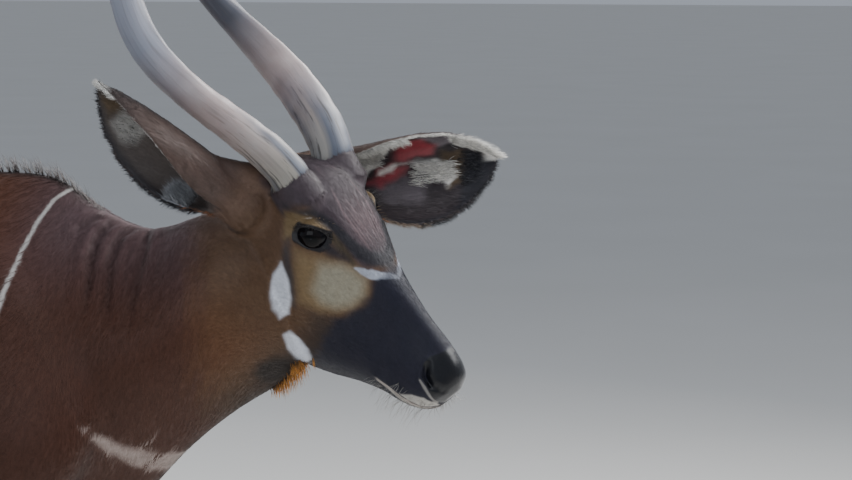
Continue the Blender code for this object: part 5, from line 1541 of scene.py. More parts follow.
def horn_material():
    """Horn keratin: pale and smooth, with long fibres, dark cracks and blue-grey stains by the base."""
    look = {"Roughness": 0.42, "Specular IOR Level": 0.5, "Subsurface Weight": 0.04}
    made, tree, shader = start_material("horn_keratin", look)
    grain = node(tree, "ShaderNodeAttribute", {"attribute_name": "grain"})
    share = node(tree, "ShaderNodeAttribute", {"attribute_name": "share"})
    # Fibres 2.5 mm wide and twelve times as long
    fibre_space = node(tree, "ShaderNodeMapping", {"Scale": (1.0, 1.0, 0.08)},
                       {"Vector": grain.outputs["Vector"]})
    fibre = node(tree, "ShaderNodeTexNoise", {"Scale": per_metre(5.0), "Detail": 5.0, "Roughness": 0.6},
                 {"Vector": fibre_space.outputs["Vector"]})
    stain = node(tree, "ShaderNodeTexNoise", {"Scale": per_metre(45.0), "Detail": 3.0},
                 {"Vector": fibre_space.outputs["Vector"]})
    patchy = node(tree, "ShaderNodeTexNoise", {"Scale": per_metre(40.0), "Detail": 4.0},
                  {"Vector": grain.outputs["Vector"]})
    base = node(tree, "ShaderNodeMix",
                {"data_type": "RGBA", 6: (*linear("#bfb3b1"), 1), 7: (*linear("#937d77"), 1)},
                {0: patchy.outputs["Fac"]})
    # Above the pink middle the horn is blue-grey in long streaks, and below it olive-grey
    streaky = node(tree, "ShaderNodeMapRange", {"From Min": 0.44, "From Max": 0.56},
                   {"Value": stain.outputs["Fac"]})
    steel = node(tree, "ShaderNodeMix",
                 {"data_type": "RGBA", 6: (*linear("#8d909c"), 1), 7: (*linear("#53555f"), 1)},
                 {0: streaky.outputs["Result"]})
    high = node(tree, "ShaderNodeMapRange", {"From Min": 0.24, "From Max": 0.38},
                {"Value": share.outputs["Fac"]})
    upper = node(tree, "ShaderNodeMix", {"data_type": "RGBA"},
                 {0: high.outputs["Result"], 6: base.outputs[2], 7: steel.outputs[2]})
    foot = node(tree, "ShaderNodeMapRange", {"From Min": 0.20, "From Max": 0.08, "To Max": 0.8},
                {"Value": share.outputs["Fac"]})
    lower = node(tree, "ShaderNodeMix", {"data_type": "RGBA", 7: (*linear("#8a897f"), 1)},
                 {0: foot.outputs["Result"], 6: upper.outputs[2]})
    line = node(tree, "ShaderNodeMapRange", {"From Min": 0.52, "From Max": 0.70, "To Max": 0.35},
                {"Value": fibre.outputs["Fac"]})
    lined = node(tree, "ShaderNodeMix", {"data_type": "RGBA", 7: (*linear("#66605e"), 1)},
                 {0: line.outputs["Result"], 6: lower.outputs[2]})
    low = node(tree, "ShaderNodeMapRange", {"From Min": 0.26, "From Max": 0.12},
               {"Value": share.outputs["Fac"]})
    blue = node(tree, "ShaderNodeMapRange", {"From Min": 0.47, "From Max": 0.55, "To Max": 0.9},
                {"Value": stain.outputs["Fac"]})
    blue_low = node(tree, "ShaderNodeMath", {"operation": "MULTIPLY"},
                    {0: low.outputs["Result"], 1: blue.outputs["Result"]})
    stained = node(tree, "ShaderNodeMix", {"data_type": "RGBA", 7: (*linear("#434c5e"), 1)},
                   {0: blue_low.outputs[0], 6: lined.outputs[2]})
    crack = node(tree, "ShaderNodeMapRange", {"From Min": 0.43, "From Max": 0.38, "To Max": 0.75},
                 {"Value": fibre.outputs["Fac"]})
    crack_low = node(tree, "ShaderNodeMath", {"operation": "MULTIPLY"},
                     {0: low.outputs["Result"], 1: crack.outputs["Result"]})
    cracked = node(tree, "ShaderNodeMix", {"data_type": "RGBA", 7: (*linear("#2c2622"), 1)},
                   {0: crack_low.outputs[0], 6: stained.outputs[2]})
    bump = node(tree, "ShaderNodeBump", {"Strength": 0.4, "Distance": 0.0008},
                {"Height": fibre.outputs["Fac"]})
    rough = node(tree, "ShaderNodeMapRange", {"To Min": 0.34, "To Max": 0.55},
                 {"Value": patchy.outputs["Fac"]})
    tree.links.new(cracked.outputs[2], shader.inputs["Base Color"])
    tree.links.new(rough.outputs["Result"], shader.inputs["Roughness"])
    tree.links.new(bump.outputs["Normal"], shader.inputs["Normal"])
    return made


def hoof_material():
    """Hoof keratin: near black, with growth bands about 3 mm apart and a dull dusty edge."""
    made, tree, shader = start_material("hoof_keratin", {"Roughness": 0.42, "Specular IOR Level": 0.5})
    place = node(tree, "ShaderNodeTexCoord")
    bands = node(tree, "ShaderNodeTexWave", {"bands_direction": "Z", "Scale": per_metre(3.0) / (2 * math.pi),
                                             "Distortion": 3.0, "Detail": 3.0, "Detail Scale": 0.4},
                 {"Vector": place.outputs["Object"]})
    dust = node(tree, "ShaderNodeTexNoise", {"Scale": per_metre(14.0), "Detail": 5.0},
                {"Vector": place.outputs["Object"]})
    worn = node(tree, "ShaderNodeMapRange", {"From Min": 0.45, "From Max": 0.75, "To Max": 0.5},
                {"Value": dust.outputs["Fac"]})
    tint = node(tree, "ShaderNodeMix",
                {"data_type": "RGBA", 6: (*linear("#1b1816"), 1), 7: (*linear("#453c34"), 1)},
                {0: worn.outputs["Result"]})
    bump = node(tree, "ShaderNodeBump", {"Strength": 0.18, "Distance": 0.0007},
                {"Height": bands.outputs["Fac"]})
    rough = node(tree, "ShaderNodeMapRange", {"To Min": 0.32, "To Max": 0.60},
                 {"Value": dust.outputs["Fac"]})
    tree.links.new(tint.outputs[2], shader.inputs["Base Color"])
    tree.links.new(rough.outputs["Result"], shader.inputs["Roughness"])
    tree.links.new(bump.outputs["Normal"], shader.inputs["Normal"])
    return made


def eye_material():
    """A wet eye: dark iris under a clear cornea, which gives a sharp highlight."""
    look = {"Roughness": 0.30, "Specular IOR Level": 0.0, "Coat Weight": 0.6, "Coat Roughness": 0.03,
            "Coat IOR": 1.38}
    made, tree, shader = start_material("wet_eye", look)
    tone = node(tree, "ShaderNodeAttribute", {"attribute_name": "tone"})
    place = node(tree, "ShaderNodeTexCoord")
    # Threads of the iris, about 0.7 mm across
    threads = node(tree, "ShaderNodeTexNoise", {"Scale": per_metre(1.4), "Detail": 3.0},
                   {"Vector": place.outputs["Object"]})
    shade = node(tree, "ShaderNodeMapRange", {"To Min": 0.75, "To Max": 1.25},
                 {"Value": threads.outputs["Fac"]})
    tint = node(tree, "ShaderNodeVectorMath", {"operation": "SCALE"},
                {0: tone.outputs["Color"], "Scale": shade.outputs["Result"]})
    tree.links.new(tint.outputs["Vector"], shader.inputs["Base Color"])
    return made


def paper_material():
    """Matt studio paper: pale and even, with a faint unevenness that keeps it from looking flat."""
    made, tree, shader = start_material("studio_paper", {"Roughness": 0.9, "Specular IOR Level": 0.2})
    place = node(tree, "ShaderNodeTexCoord")
    cloud = node(tree, "ShaderNodeTexNoise", {"Scale": per_metre(900.0), "Detail": 2.0},
                 {"Vector": place.outputs["Object"]})
    tint = node(tree, "ShaderNodeMix",
                {"data_type": "RGBA", 6: (*linear("#d9d7d2"), 1), 7: (*linear("#e0deda"), 1)},
                {0: cloud.outputs["Fac"]})
    tree.links.new(tint.outputs[2], shader.inputs["Base Color"])
    return made


def unwrap(obj):
    """An unwrap of the skin's own shape, on which the coat's colours can be baked."""
    obj.data.uv_layers.new(name="OFBake")
    bpy.context.view_layer.objects.active = obj
    obj.select_set(True)
    bpy.ops.object.mode_set(mode="EDIT")
    bpy.ops.mesh.select_all(action="SELECT")
    bpy.ops.uv.smart_project(angle_limit=math.radians(66), island_margin=0.002)
    bpy.ops.object.mode_set(mode="OBJECT")
    obj.select_set(False)


def tuck_feet(points):
    """The foot narrowed where the hoof's claws stand round it."""
    slope = math.tan(math.radians(HOOF_TOP_SLOPE))
    for _, _, _, x, y in feet():
        middle = np.array((x, y))
        away = points[:, :2] - middle
        near = (np.linalg.norm(away, axis=1) < 0.08) & (points[:, 2] < 0.12)
        over = points[:, 2] - HOOF_TOP - slope * away[:, 0]
        hold = near * (1 - ramp(over, -0.012, 0.0))
        points[:, :2] = middle + away * (1 - 0.22 * hold)[:, None]
    return points


def colour_setting(name, place, value):
    text = f"Colour of the {place}"
    return FloatVectorProperty(name=name, description=text, subtype="COLOR", default=linear(value))


def density_setting(region, value):
    text = f"Tufts in a square metre of {region}"
    return FloatProperty(name=f"{region.capitalize()} tufts", description=text, default=value, min=0.0)


def length_setting(name, what, value, least):
    text = f"Length of the {what}"
    return FloatProperty(name=name, description=text, default=value, min=least,
                         subtype="DISTANCE", unit="LENGTH")


class BONGO_PG_coat(bpy.types.PropertyGroup):
    chestnut: colour_setting("Chestnut", "body's coat", "#563121")
    forehead: colour_setting("Forehead", "forehead", "#443b42")
    muzzle: colour_setting("Muzzle", "muzzle", "#1c1d2c")
    cream: colour_setting("Cream", "patch below the eye", "#a19c8a")
    white: colour_setting("White", "stripes and face spots", "#cfcac4")
    crescent: colour_setting("Crescent", "crescent of the chest", "#b5a49c")
    stripes: IntProperty(name="Stripes", description="Stripes behind the first one",
                         default=11, min=2, max=14)
    face_density: density_setting("face", 340000.0)
    ear_density: density_setting("ear", 300000.0)
    neck_density: density_setting("neck", 200000.0)
    trunk_density: density_setting("trunk", 55000.0)
    leg_density: density_setting("leg", 68000.0)


class BONGO_PG_long_hair(bpy.types.PropertyGroup):
    crest: length_setting("Crest", "longest bristles of the back", 0.046, 0.01)
    tail_tuft: length_setting("Tail tuft", "hairs of the tail tuft", 0.170, 0.01)
    throat: length_setting("Throat fringe", "hairs below the throat", 0.027, 0.005)
    whisker: length_setting("Whiskers", "whiskers of the lips", 0.032, 0.005)


class BONGO_PG_studio(bpy.types.PropertyGroup):
    floor: FloatProperty(name="Floor", description="Width of the floor", default=160.0, min=5.0,
                         subtype="DISTANCE", unit="LENGTH")
    lens: FloatProperty(name="Lens", description="Focal length on a sensor 36 mm wide", default=91.27,
                        min=10.0, subtype="DISTANCE_CAMERA", unit="CAMERA")
    azimuth: FloatProperty(name="Azimuth", description="Where the camera stands about the animal",
                           default=math.radians(22.0), subtype="ANGLE", unit="ROTATION")
    dip: FloatProperty(name="Dip", description="How far the camera looks down", default=0.125,
                       subtype="ANGLE", unit="ROTATION")


class BONGO_OT_skin(bpy.types.Operator):
    """Builds one skin over the whole animal, with its folds, lids and markings"""
    bl_idname = "bongo.skin"
    bl_label = "Skin"

    def execute(self, context):
        raw = build_skin()
        face_detail(raw)
        part = sink(raw)
        mesh = raw.data
        place_points(mesh, tuck_feet(coordinates(mesh)))
        bpy.data.objects.remove(raw)
        points, out = coordinates(mesh), normals(mesh)
        colours, bare = paint(points, out, part)
        store_colour(mesh, colours)
        store_share(mesh, "bare", bare)
        layer = mesh.attributes.new("part", "INT", "POINT")
        layer.data.foreach_set("value", part.astype(np.int32))
        mesh.shade_smooth()
        skin = put("skin", mesh, skin_material(), FLESH)
        unwrap(skin)
        return {"FINISHED"}


def region_sizes(name, points):
    """Length, width and lift of the tufts of a region."""
    face = to_frame(points, HEAD_FRAME)
    if name == "face":
        length = np.interp(face[:, 0], (-0.16, -0.05, 0.05, 0.20), (0.010, 0.0070, 0.0050, 0.0030))
        return length, 0.0009, 4.5
    if name == "ears":
        return np.full(len(points), 0.0080), 0.0009, 8.0
    if name == "neck":
        return np.full(len(points), 0.0105), 0.0010, 3.0
    if name == "legs":
        return np.interp(points[:, 2], (0.05, 0.15, 0.60), (0.008, 0.009, 0.013)), 0.0017, 3.5
    return np.full(len(points), 0.015), 0.0021, 2.6


class BONGO_OT_coat(bpy.types.Operator):
    """Covers the skin with short tufts that follow the lie of the coat"""
    bl_idname = "bongo.coat"
    bl_label = "Short coat"

    def execute(self, context):
        look = context.scene.bongo_coat
        skin = Skin()
        rng = np.random.default_rng(COAT_SEED)
        finish = hair_material("coat_hair", 0.55, 0.30)
        x, _, z = skin.points.T
        ears = skin.part >= EAR_RIGHT
        face = skin.part == FACE
        body = skin.part == BODY
        regions = {
            "face": (face, look.face_density),
            "ears": (ears, look.ear_density),
            "neck": (body & (x > 0.04), look.neck_density),
            "trunk": (body & (x <= 0.04) & (z > 0.56), look.trunk_density),
            "legs": (body & (z <= 0.56), look.leg_density),
        }
        covered = (1 - ramp(skin.bare, 0.15, 0.5)) * ramp(z, 0.045, 0.060)
        for name, (chosen, density) in regions.items():
            dense = density * covered * chosen
            if name == "face":
                ahead = to_frame(skin.points, HEAD_FRAME)[:, 0]
                dense = dense * np.interp(ahead, (-0.15, 0.0, 0.12, 0.2), (0.7, 1.0, 1.5, 2.0))
            points, out, uvs, part = skin.scatter(rng, dense)
            length, width, lift = region_sizes(name, points)
            count = len(points)
            lie = lie_of_coat(points, out, part)
            side = np.cross(out, lie)
            turn = rng.normal(0, 0.07, count)[:, None]
            lie = unit(lie * np.cos(turn) + side * np.sin(turn))
            length = length * rng.uniform(0.75, 1.25, count)
            width = width * rng.uniform(0.7, 1.3, count)
            roots, bare = paint(points, out, part)
            tips, _ = paint(points + lie * length[:, None], out, part)
            # Hairs that would cross the edge of a marking end short of it
            length = length * (1 - 0.55 * ramp(abs(roots - tips).max(axis=1), 0.04, 0.15))
            tips, _ = paint(points + lie * length[:, None], out, part)
            shade = rng.uniform(0.93, 1.07, count)[:, None]
            keep = bare < 0.35
            lift = np.radians(lift) * rng.uniform(0.4, 1.5, count)
            roll = rng.normal(0, 0.12, count)
            values = (points, out, lie, length, width, lift, roll, roots * shade, tips * shade, uvs)
            values = [v[keep] for v in values]
            pieces = max(1, math.ceil(keep.sum() / PIECE_TUFTS))
            for k in range(pieces):
                mesh = quick_mesh(f"coat_{name}_{k + 1}", *tufts(*(v[k::pieces] for v in values)))
                put(mesh.name, mesh, finish)
        return {"FINISHED"}


def crest_hairs(skin, rng, look):
    """Bristles of the back, short at the withers and longest over the middle."""
    count = CREST_COUNT
    x = rng.uniform(-0.94, 0.120, count)
    share = (0.120 - x) / 1.06
    tops = np.array([top for top, _, _ in TRUNK])
    rough = np.stack([x, rng.normal(0, 0.005, count), np.interp(x, *tops.T) + 0.01], axis=1)
    points, out, uvs, _ = skin.nearest(rough)
    length = look.crest * np.interp(share, (0, 0.05, 0.14, 0.25, 0.65, 1),
                                    (0.25, 0.62, 0.58, 1.0, 1.0, 0.62))
    length = length * rng.uniform(0.35, 1.15, count)
    clump = np.sin(x * 300 + 3 * np.sin(x * 67))
    along = np.stack([-0.35 + 0.06 * clump + rng.normal(0, 0.20, count), rng.normal(0, 0.12, count),
                      np.ones(count)], axis=1)
    bend = along * (1, 1, 0.6) + (-0.45, 0, 0)
    width = rng.uniform(0.0006, 0.0011, count)
    dark = np.tile(BRISTLE, (count, 1)) * rng.uniform(0.8, 2.4, count)[:, None]
    return strands(points - out * 0.001, unit(along), unit(bend), length, width, dark, uvs, 4, 2.6)


def tail_hairs(skin, rng, look):
    """Long black hairs round the end of the tail."""
    count = TAIL_COUNT
    z = 0.735 - 0.115 * rng.random(count) ** 0.8
    angle = rng.uniform(0, 2 * math.pi, count)
    path = np.array(TAIL)
    middle = np.stack([np.interp(-z, -path[:, 2], path[:, k]) for k in (0, 1)], axis=1)
    way = np.stack([np.cos(angle), np.sin(angle), np.zeros(count)], axis=1)
    rough = np.concatenate([middle, z[:, None]], axis=1) + way * 0.010
    points, out, uvs, _ = skin.nearest(rough)
    down = np.array((0.0, 0.0, -1.0))
    spread = rng.uniform(0.10, 0.42, count)[:, None]
    along, bend = unit(way * spread + down), unit(-way * 0.12 * rng.random(count)[:, None] + down)
    length = look.tail_tuft * rng.uniform(0.65, 1.05, count)
    width = rng.uniform(0.0012, 0.0024, count)
    dark = np.tile(BRISTLE, (count, 1)) * rng.uniform(0.5, 1.1, count)[:, None]
    return strands(points - out * 0.001, along, bend, length, width, dark, uvs, 5, 1.1)


# Line of the throat that the fringe hangs from, in withers axes
THROAT_LINE = ((0.294, -0.003, 0.850), (0.308, 0.012, 0.855), (0.340, 0.035, 0.864), (0.350, 0.037, 0.875),
               (0.362, 0.038, 0.889), (0.380, 0.028, 0.905), (0.390, 0.030, 0.915))


def throat_hairs(skin, rng, look):
    """Pale orange fringe that hangs behind the jaw, and shorter hairs on below the neck. Its orange and
    bright tips are partly painted light shining through the hairs.
    """
    count = THROAT_COUNT
    share = 0.40 + 0.60 * rng.random(count) ** 0.8
    share += 0.012 * np.sin(share * 190)
    line = np.array(THROAT_LINE)
    run = np.linspace(0, 1, len(line))
    rough = np.stack([np.interp(share, run, line[:, k]) for k in range(3)], axis=1)
    aside = rng.normal(0, 0.007, count)
    rough += np.stack([np.zeros(count), aside, np.full(count, -0.01)], axis=1)
    points, out, uvs, _ = skin.nearest(rough)
    length = look.throat * np.interp(share, (0.0, 0.35, 0.55, 0.95, 1.0), (0.30, 0.45, 1.0, 0.9, 0.6))
    length = length * rng.uniform(0.35, 1.05, count) * (0.8 + 0.25 * np.sin(share * 190))
    ones = np.ones(count)
    along = unit(np.stack([0.45 * ones, 8 * aside, -ones], axis=1) + 0.18 * rng.normal(size=(count, 3)))
    bend = unit(np.stack([-0.10 * ones, 3 * aside, -ones], axis=1))
    width = rng.uniform(0.0008, 0.0016, count)
    tone = np.tile(FRINGE_BACKLIT, (count, 1)) * rng.uniform(0.25, 1.15, count)[:, None]
    return strands(points - out * 0.001, along, bend, length, width, tone, uvs, 4, 2.2, root=0.15)


# Long hairs of the ears: count, shares of the length, turns, how far they point outwards and
# to the tip, length and colour
EAR_HAIRS = {
    "left": (
        (800, (0.55, 0.97), (0.96, 1.0), 0.85, 0.65, 0.0110, EAR_BLACK),
        (280, (0.36, 0.60), (0.94, 1.0), 0.80, 0.50, 0.0110, BRISTLE_PALE),
        (320, (0.08, 0.38), (0.94, 1.0), 0.80, 0.50, 0.0100, EAR_GLOW),
        (700, (0.22, 0.38), (-0.99, -0.20), -0.55, 0.80, 0.0130, EAR_FUR),
        (700, (0.10, 0.50), (-1.0, -0.92), -0.70, 0.60, 0.0140, EAR_FUR),
        (260, (0.36, 0.47), (-0.99, -0.75), -0.55, 0.80, 0.0120, EAR_FUR),
        (300, (0.46, 0.76), (-1.0, -0.93), -0.20, 0.95, 0.0070, EAR_FUR),
        (800, (0.74, 1.00), (-1.0, -0.62), -0.05, 1.00, 0.0170, EAR_FUR),
        (520, (0.52, 0.75), (-0.24, 0.14), -0.35, 0.95, 0.0170, EAR_FUR),
        (200, (0.78, 0.90), (-0.50, 0.40), -0.25, 0.95, 0.0120, EAR_BLACK),
    ),
    "right": (
        (1300, (0.14, 0.98), (0.96, 1.0), 1.00, 0.40, 0.0125, EAR_BLACK),
        (160, (0.06, 0.24), (0.94, 1.0), 0.80, 0.50, 0.0080, EAR_GLOW),
        (420, (0.84, 1.00), (-1.0, -0.50), -0.05, 1.00, 0.0130, EAR_FUR),
        (200, (0.96, 1.00), (-1.0, 0.30), 0.25, 1.00, 0.0110, EAR_FUR),
        (360, (0.20, 0.34), (0.62, 0.98), -0.50, 0.80, 0.0180, EAR_TUFT),
        (260, (0.62, 0.80), (-0.50, 0.70), -0.30, 0.95, 0.0110, EAR_GREY),
    ),
}


def rim_hairs(skin, rng, side):
    """Dark and pale fringes along the rims of an ear, and the white hairs inside it."""
    _, ear_along, _, _ = ear_axes(side)
    made = []
    for count, shares, turns, outwards, ahead, length, colour in EAR_HAIRS[side]:
        u = rng.uniform(*shares, count)
        place, way = ear_place(side, u, rng.uniform(*turns, count))
        inner = place - way * EAR_THICK * 0.35
        points, out, uvs, _ = skin.nearest(from_frame(inner, HEAD_FRAME))
        loose = 0.22 * rng.normal(size=(count, 3))
        along = unit(way_out(unit(way * outwards + ear_along * ahead)) + 0.35 * out + loose)
        bend = unit(way_out(unit(way * outwards * 0.6 + ear_along * ahead)) + 0.5 * loose)
        size = length * rng.uniform(0.55, 1.15, count)
        width = rng.uniform(0.0006, 0.0011, count)
        tone = np.tile(colour, (count, 1)) * rng.uniform(0.7, 1.1, count)[:, None]
        made.append(strands(points - out * 0.0005, along, bend, size, width, tone, uvs, 3, 1.1))
    return joined(made)


def whisker_hairs(skin, rng, look):
    """Pale whiskers of the lower lip and chin, a few of the upper lip, and the lashes."""
    made = []
    rows = (
        # count, two ends on the left side in the head frame, way, length, half thickness
        (46, (0.150, 0.036, -0.104), (0.206, 0.016, -0.084), (0.15, 0.35, -1.0), 1.0, 0.00035),
        (14, (0.130, 0.040, -0.100), (0.150, 0.040, -0.100), (-0.4, 0.8, -0.6), 0.7, 0.0003),
        (14, (0.205, 0.012, -0.060), (0.215, 0.004, -0.052), (0.8, 0.4, -0.5), 0.45, 0.0003),
        (16, (0.160, 0.038, -0.070), (0.200, 0.028, -0.060), (0.2, 1.0, -0.5), 0.7, 0.0003),
    )
    for sign in (1, -1):
        for count, start, end, way, size, width in rows:
            share = rng.random(count)[:, None]
            rough = np.array(start) * (1 - share) + np.array(end) * share + rng.normal(0, 0.003, (count, 3))
            points, out, uvs, _ = skin.nearest(from_frame(rough * (1, sign, 1), HEAD_FRAME))
            loose = 0.35 * rng.normal(size=(count, 3))
            along = unit(way_out(unit(np.array(way) * (1, sign, 1))) + loose + 0.4 * out)
            bend = unit(along + (0, 0, -0.5) + 0.5 * loose)
            length = look.whisker * size * rng.uniform(0.6, 1.25, count)
            tone = np.tile(LIP, (count, 1)) * rng.uniform(0.6, 1.0, count)[:, None]
            made.append(strands(points, along, bend, length, np.full(count, 2 * width), tone, uvs, 5, 1.0))
        made.append(lash_hairs(skin, rng, sign))
    return joined(made)


def lash_hairs(skin, rng, sign):
    """Lashes along the upper lid, which stand out and droop, and a few pale brow hairs."""
    count = LASH_COUNT
    aim, ahead, over = eye_axes()
    angle = rng.uniform(0.12, 0.92, count) * math.pi
    brow = rng.random(count) < 0.15
    far = np.where(brow, 1.95, 1.12)
    u = np.cos(angle) * LID_LENGTH * far
    v = np.sin(angle) * LID_HEIGHT * far
    w = np.sqrt(np.maximum(EYE_RADIUS ** 2 - u ** 2 - v ** 2, 1e-6)) + 0.002
    rough = np.array(EYE_AT) + np.outer(u, ahead) + np.outer(v, over) + np.outer(w, aim)
    points, _, uvs, _ = skin.nearest(from_frame(rough * (1, sign, 1), HEAD_FRAME))
    lift = np.outer(np.ones(count), aim) + 0.7 * np.outer(np.cos(angle), ahead) + 0.55 * over
    along = unit(way_out(unit(lift) * (1, sign, 1)) + 0.12 * rng.normal(size=(count, 3)))
    bend = unit(along - way_out(np.array([over * (1, sign, 1)])) * 0.7)
    length = np.where(brow, 0.009, 0.011) * rng.uniform(0.7, 1.2, count)
    tone = np.where(brow[:, None], np.array(TAN), np.array(BRISTLE))
    return strands(points, along, bend, length, np.full(count, 0.0006), tone, uvs, 4, 1.1)


class BONGO_OT_long_hair(bpy.types.Operator):
    """Sets the crest, tail tuft, throat fringe, ear fringes, whiskers and lashes on the skin"""
    bl_idname = "bongo.long_hair"
    bl_label = "Long hair"

    def execute(self, context):
        look = context.scene.bongo_long_hair
        skin = Skin()
        rng = np.random.default_rng(LONG_HAIR_SEED)
        bristle = hair_material("bristle_hair", 0.38, 0.5)
        pieces = {
            "crest": crest_hairs(skin, rng, look),
            "tail_tuft": tail_hairs(skin, rng, look),
            "throat_fringe": throat_hairs(skin, rng, look),
            "ear_fringe_right": rim_hairs(skin, rng, "right"),
            "ear_fringe_left": rim_hairs(skin, rng, "left"),
            "whiskers": whisker_hairs(skin, rng, look),
        }
        for name, hairs in pieces.items():
            put(name, quick_mesh(name, *hairs), bristle)
        return {"FINISHED"}


class BONGO_OT_eyes(bpy.types.Operator):
    """Builds both eyes, with a bulging cornea and a long flat pupil"""
    bl_idname = "bongo.eyes"
    bl_label = "Eyes"

    def execute(self, context):
        finish = eye_material()
        aim, ahead, over = eye_axes()
        for side, sign in SIDES:
            rings = []
            for i in range(EYE_RINGS + 1):
                bend = math.pi * i / EYE_RINGS
                ring = []
                for k in range(EYE_SIDES):
                    angle = 2 * math.pi * k / EYE_SIDES
                    around = ahead * math.cos(angle) + over * math.sin(angle)
                    way = aim * math.cos(bend) + math.sin(bend) * around
                    bulge = 0.0011 * float(ramp(0.80 - bend, 0.0, 0.45))
                    ring.append(np.array(EYE_AT) + way * (EYE_RADIUS + bulge))
                rings.append(ring)
            mesh = only_mesh(loft(f"eyeball_{side}", rings))
            q = coordinates(mesh) - np.array(EYE_AT)
            away = np.arctan2(np.linalg.norm(q - np.outer(q @ aim, aim), axis=1), q @ aim)
            pupil = np.hypot(q @ ahead / 0.0090, q @ over / 0.0040)
            tone = np.tile(linear("#0f0a0b"), (len(q), 1))
            tone = mix(tone, ramp(away, 0.55, 0.68), linear("#0a090d"))
            tone = mix(tone, (1 - ramp(pupil, 0.9, 1.1)) * (q @ aim > 0), linear("#030305"))
            store_colour(mesh, tone)
            points = coordinates(mesh) * (1, sign, 1)
            place_points(mesh, from_frame(points, HEAD_FRAME))
            if sign < 0:
                mesh.flip_normals()
            mesh.shade_smooth()
            put(f"eyeball_{side}", mesh, finish, (f"eye_{side}",))
        return {"FINISHED"}


class BONGO_OT_horns(bpy.types.Operator):
    """Builds both horns, each with a ridge that turns once about it"""
    bl_idname = "bongo.horns"
    bl_label = "Horns"

    def execute(self, context):
        finish = horn_material()
        for side, sign in SIDES:
            path = np.array(HORN) * (1, sign, 1)
            length = np.linalg.norm(np.diff(path, axis=0), axis=1).sum()
            path = smooth_rows(path, length / 180)
            run = np.concatenate([[0], np.cumsum(np.linalg.norm(np.diff(path, axis=0), axis=1))])
            share = run / run[-1]
            radii = np.interp(share, HORN_SHARES, HORN_RADII)
            waves = np.sin(run * 2 * math.pi / 0.024) * 0.0002 + np.sin(run * 2 * math.pi / 0.041) * 0.0003
            radii = radii + waves * (1 - ramp(share, 0.15, 0.55))
            turns = -HORN_TURNS * sign
            mesh = only_mesh(tube(f"horn_sheath_{side}", path, radii, HORN_SIDES, HORN_KEEL, turns))
            place_points(mesh, from_frame(coordinates(mesh), HEAD_FRAME))
            ring = np.minimum(np.arange(len(mesh.vertices)) // HORN_SIDES, len(path) - 1)
            angle = 2 * math.pi * (np.arange(len(mesh.vertices)) % HORN_SIDES) / HORN_SIDES
            grain = np.stack([np.cos(angle) * 0.026, np.sin(angle) * 0.026, run[ring] + 3.0 * sign], axis=1)
            layer = mesh.attributes.new("grain", "FLOAT_VECTOR", "POINT")
            layer.data.foreach_set("vector", grain.astype(np.float32).ravel())
            store_share(mesh, "share", share[ring])
            mesh.shade_smooth()
            put(f"horn_sheath_{side}", mesh, finish, (f"horn_{side}",))
        return {"FINISHED"}


class BONGO_OT_hooves(bpy.types.Operator):
    """Builds the two claws of each hoof"""
    bl_idname = "bongo.hooves"
    bl_label = "Hooves"

    def execute(self, context):
        finish = hoof_material()
        slope = math.tan(math.radians(HOOF_TOP_SLOPE))
        rows = smooth_rows(CLAW, 0.005)
        for end, side, sign, x, y in feet():
            for toe in ("inner", "outer"):
                turn = sign if toe == "outer" else -sign
                rings = []
                for height, front, back, near, far in rows:
                    ring = []
                    for k in range(CLAW_SIDES):
                        angle = 2 * math.pi * k / CLAW_SIDES
                        along = math.cos(angle)
                        px = (front + back) / 2 + (front - back) / 2 * along
                        narrow = 1 - 0.42 * max(0.0, along) ** 2
                        width = (far - near) * abs(math.sin(angle)) ** 0.8 * narrow
                        inset = 0.12 * (1 - abs(along)) * (far - near)
                        py = near + (width if math.sin(angle) > 0 else inset)
                        top = HOOF_TOP + slope * px + 0.0015
                        ring.append((x + px, y + turn * py, min(height, top)))
                    rings.append(ring)
                name = f"claw_{end}_{side}_{toe}"
                mesh = only_mesh(loft(name, rings))
                mesh.shade_smooth()
                mesh.set_sharp_from_angle(angle=math.radians(50))
                put(name, mesh, finish, (f"hoof_{end}_{side}_{toe}",))
        return {"FINISHED"}


def area_light(name, place, aim, size, power, colour):
    data = bpy.data.lights.new(name, "AREA")
    data.shape = "RECTANGLE"
    data.size, data.size_y = size
    data.energy = power
    data.color = colour
    obj = bpy.data.objects.new(name, data)
    obj.location = place
    obj.rotation_euler = (Vector(aim) - Vector(place)).to_track_quat("-Z", "Y").to_euler()
    bpy.context.scene.collection.objects.link(obj)


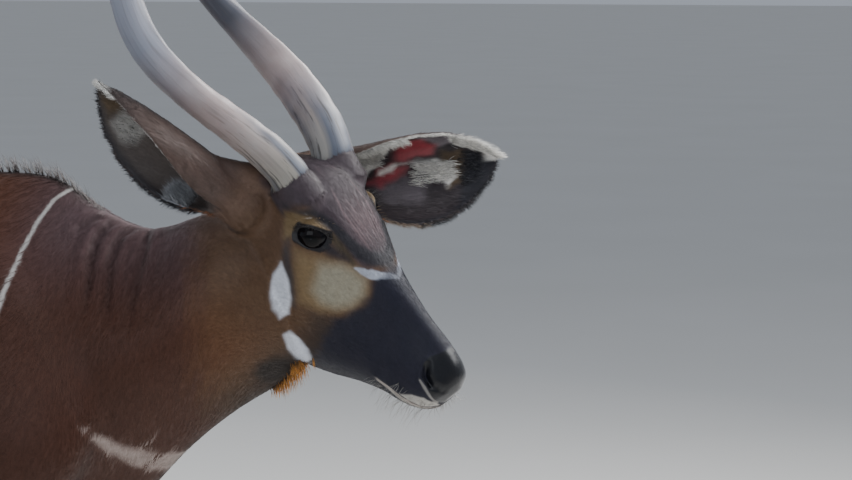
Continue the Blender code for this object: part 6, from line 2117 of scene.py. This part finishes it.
class BONGO_OT_studio(bpy.types.Operator):
    """Sets the pale floor, the soft lights and the camera of the photograph"""
    bl_idname = "bongo.studio"
    bl_label = "Studio"

    def execute(self, context):
        look = context.scene.bongo_studio
        half = look.floor / 2
        floor = mesh_object("floor",
                            [(-half, -half, 0), (half, -half, 0), (half, half, 0), (-half, half, 0)],
                            [(0, 1, 2, 3)])
        floor.data.materials.append(paper_material())
        for light in LIGHTS:
            area_light(*light)
        world = bpy.data.worlds.new("studio_air")
        world.use_nodes = True
        air = world.node_tree.nodes["Background"]
        air.inputs["Color"].default_value = (0.76, 0.83, 0.95, 1.0)
        air.inputs["Strength"].default_value = 0.45
        context.scene.world = world
        data = bpy.data.cameras.new("camera")
        data.sensor_width = 36.0
        data.sensor_fit = "HORIZONTAL"
        data.lens = look.lens
        data.clip_end = 500.0
        camera = bpy.data.objects.new("camera", data)
        camera.location = Vector(CAMERA_AT) + WITHERS
        camera.rotation_euler = (math.pi / 2 - look.dip, 0.0, look.azimuth)
        context.scene.collection.objects.link(camera)
        context.scene.camera = camera
        return {"FINISHED"}


STEPS = (BONGO_OT_skin, BONGO_OT_coat, BONGO_OT_long_hair, BONGO_OT_eyes, BONGO_OT_horns, BONGO_OT_hooves,
         BONGO_OT_studio)


class BONGO_PT_panel(bpy.types.Panel):
    bl_idname = "BONGO_PT_panel"
    bl_label = "Bongo Antelope"
    bl_space_type = "VIEW_3D"
    bl_region_type = "UI"
    bl_category = "Bongo"

    def draw(self, context):
        layout = self.layout
        for settings in ("bongo_coat", "bongo_long_hair", "bongo_studio"):
            group = getattr(context.scene, settings)
            for name in group.__annotations__:
                layout.prop(group, name)
        for step in STEPS:
            layout.operator(step.bl_idname)


GROUPS = {"bongo_coat": BONGO_PG_coat, "bongo_long_hair": BONGO_PG_long_hair,
          "bongo_studio": BONGO_PG_studio}


def register():
    for group in (*GROUPS.values(), *STEPS, BONGO_PT_panel):
        bpy.utils.register_class(group)
    for name, group in GROUPS.items():
        setattr(bpy.types.Scene, name, PointerProperty(type=group))


def unregister():
    for name in GROUPS:
        delattr(bpy.types.Scene, name)
    for group in (BONGO_PT_panel, *reversed(STEPS), *GROUPS.values()):
        bpy.utils.unregister_class(group)


def main():
    register()
    bpy.ops.bongo.skin()
    bpy.ops.bongo.coat()
    bpy.ops.bongo.long_hair()
    bpy.ops.bongo.eyes()
    bpy.ops.bongo.horns()
    bpy.ops.bongo.hooves()
    bpy.ops.bongo.studio()


if __name__ == "__main__":
    main()
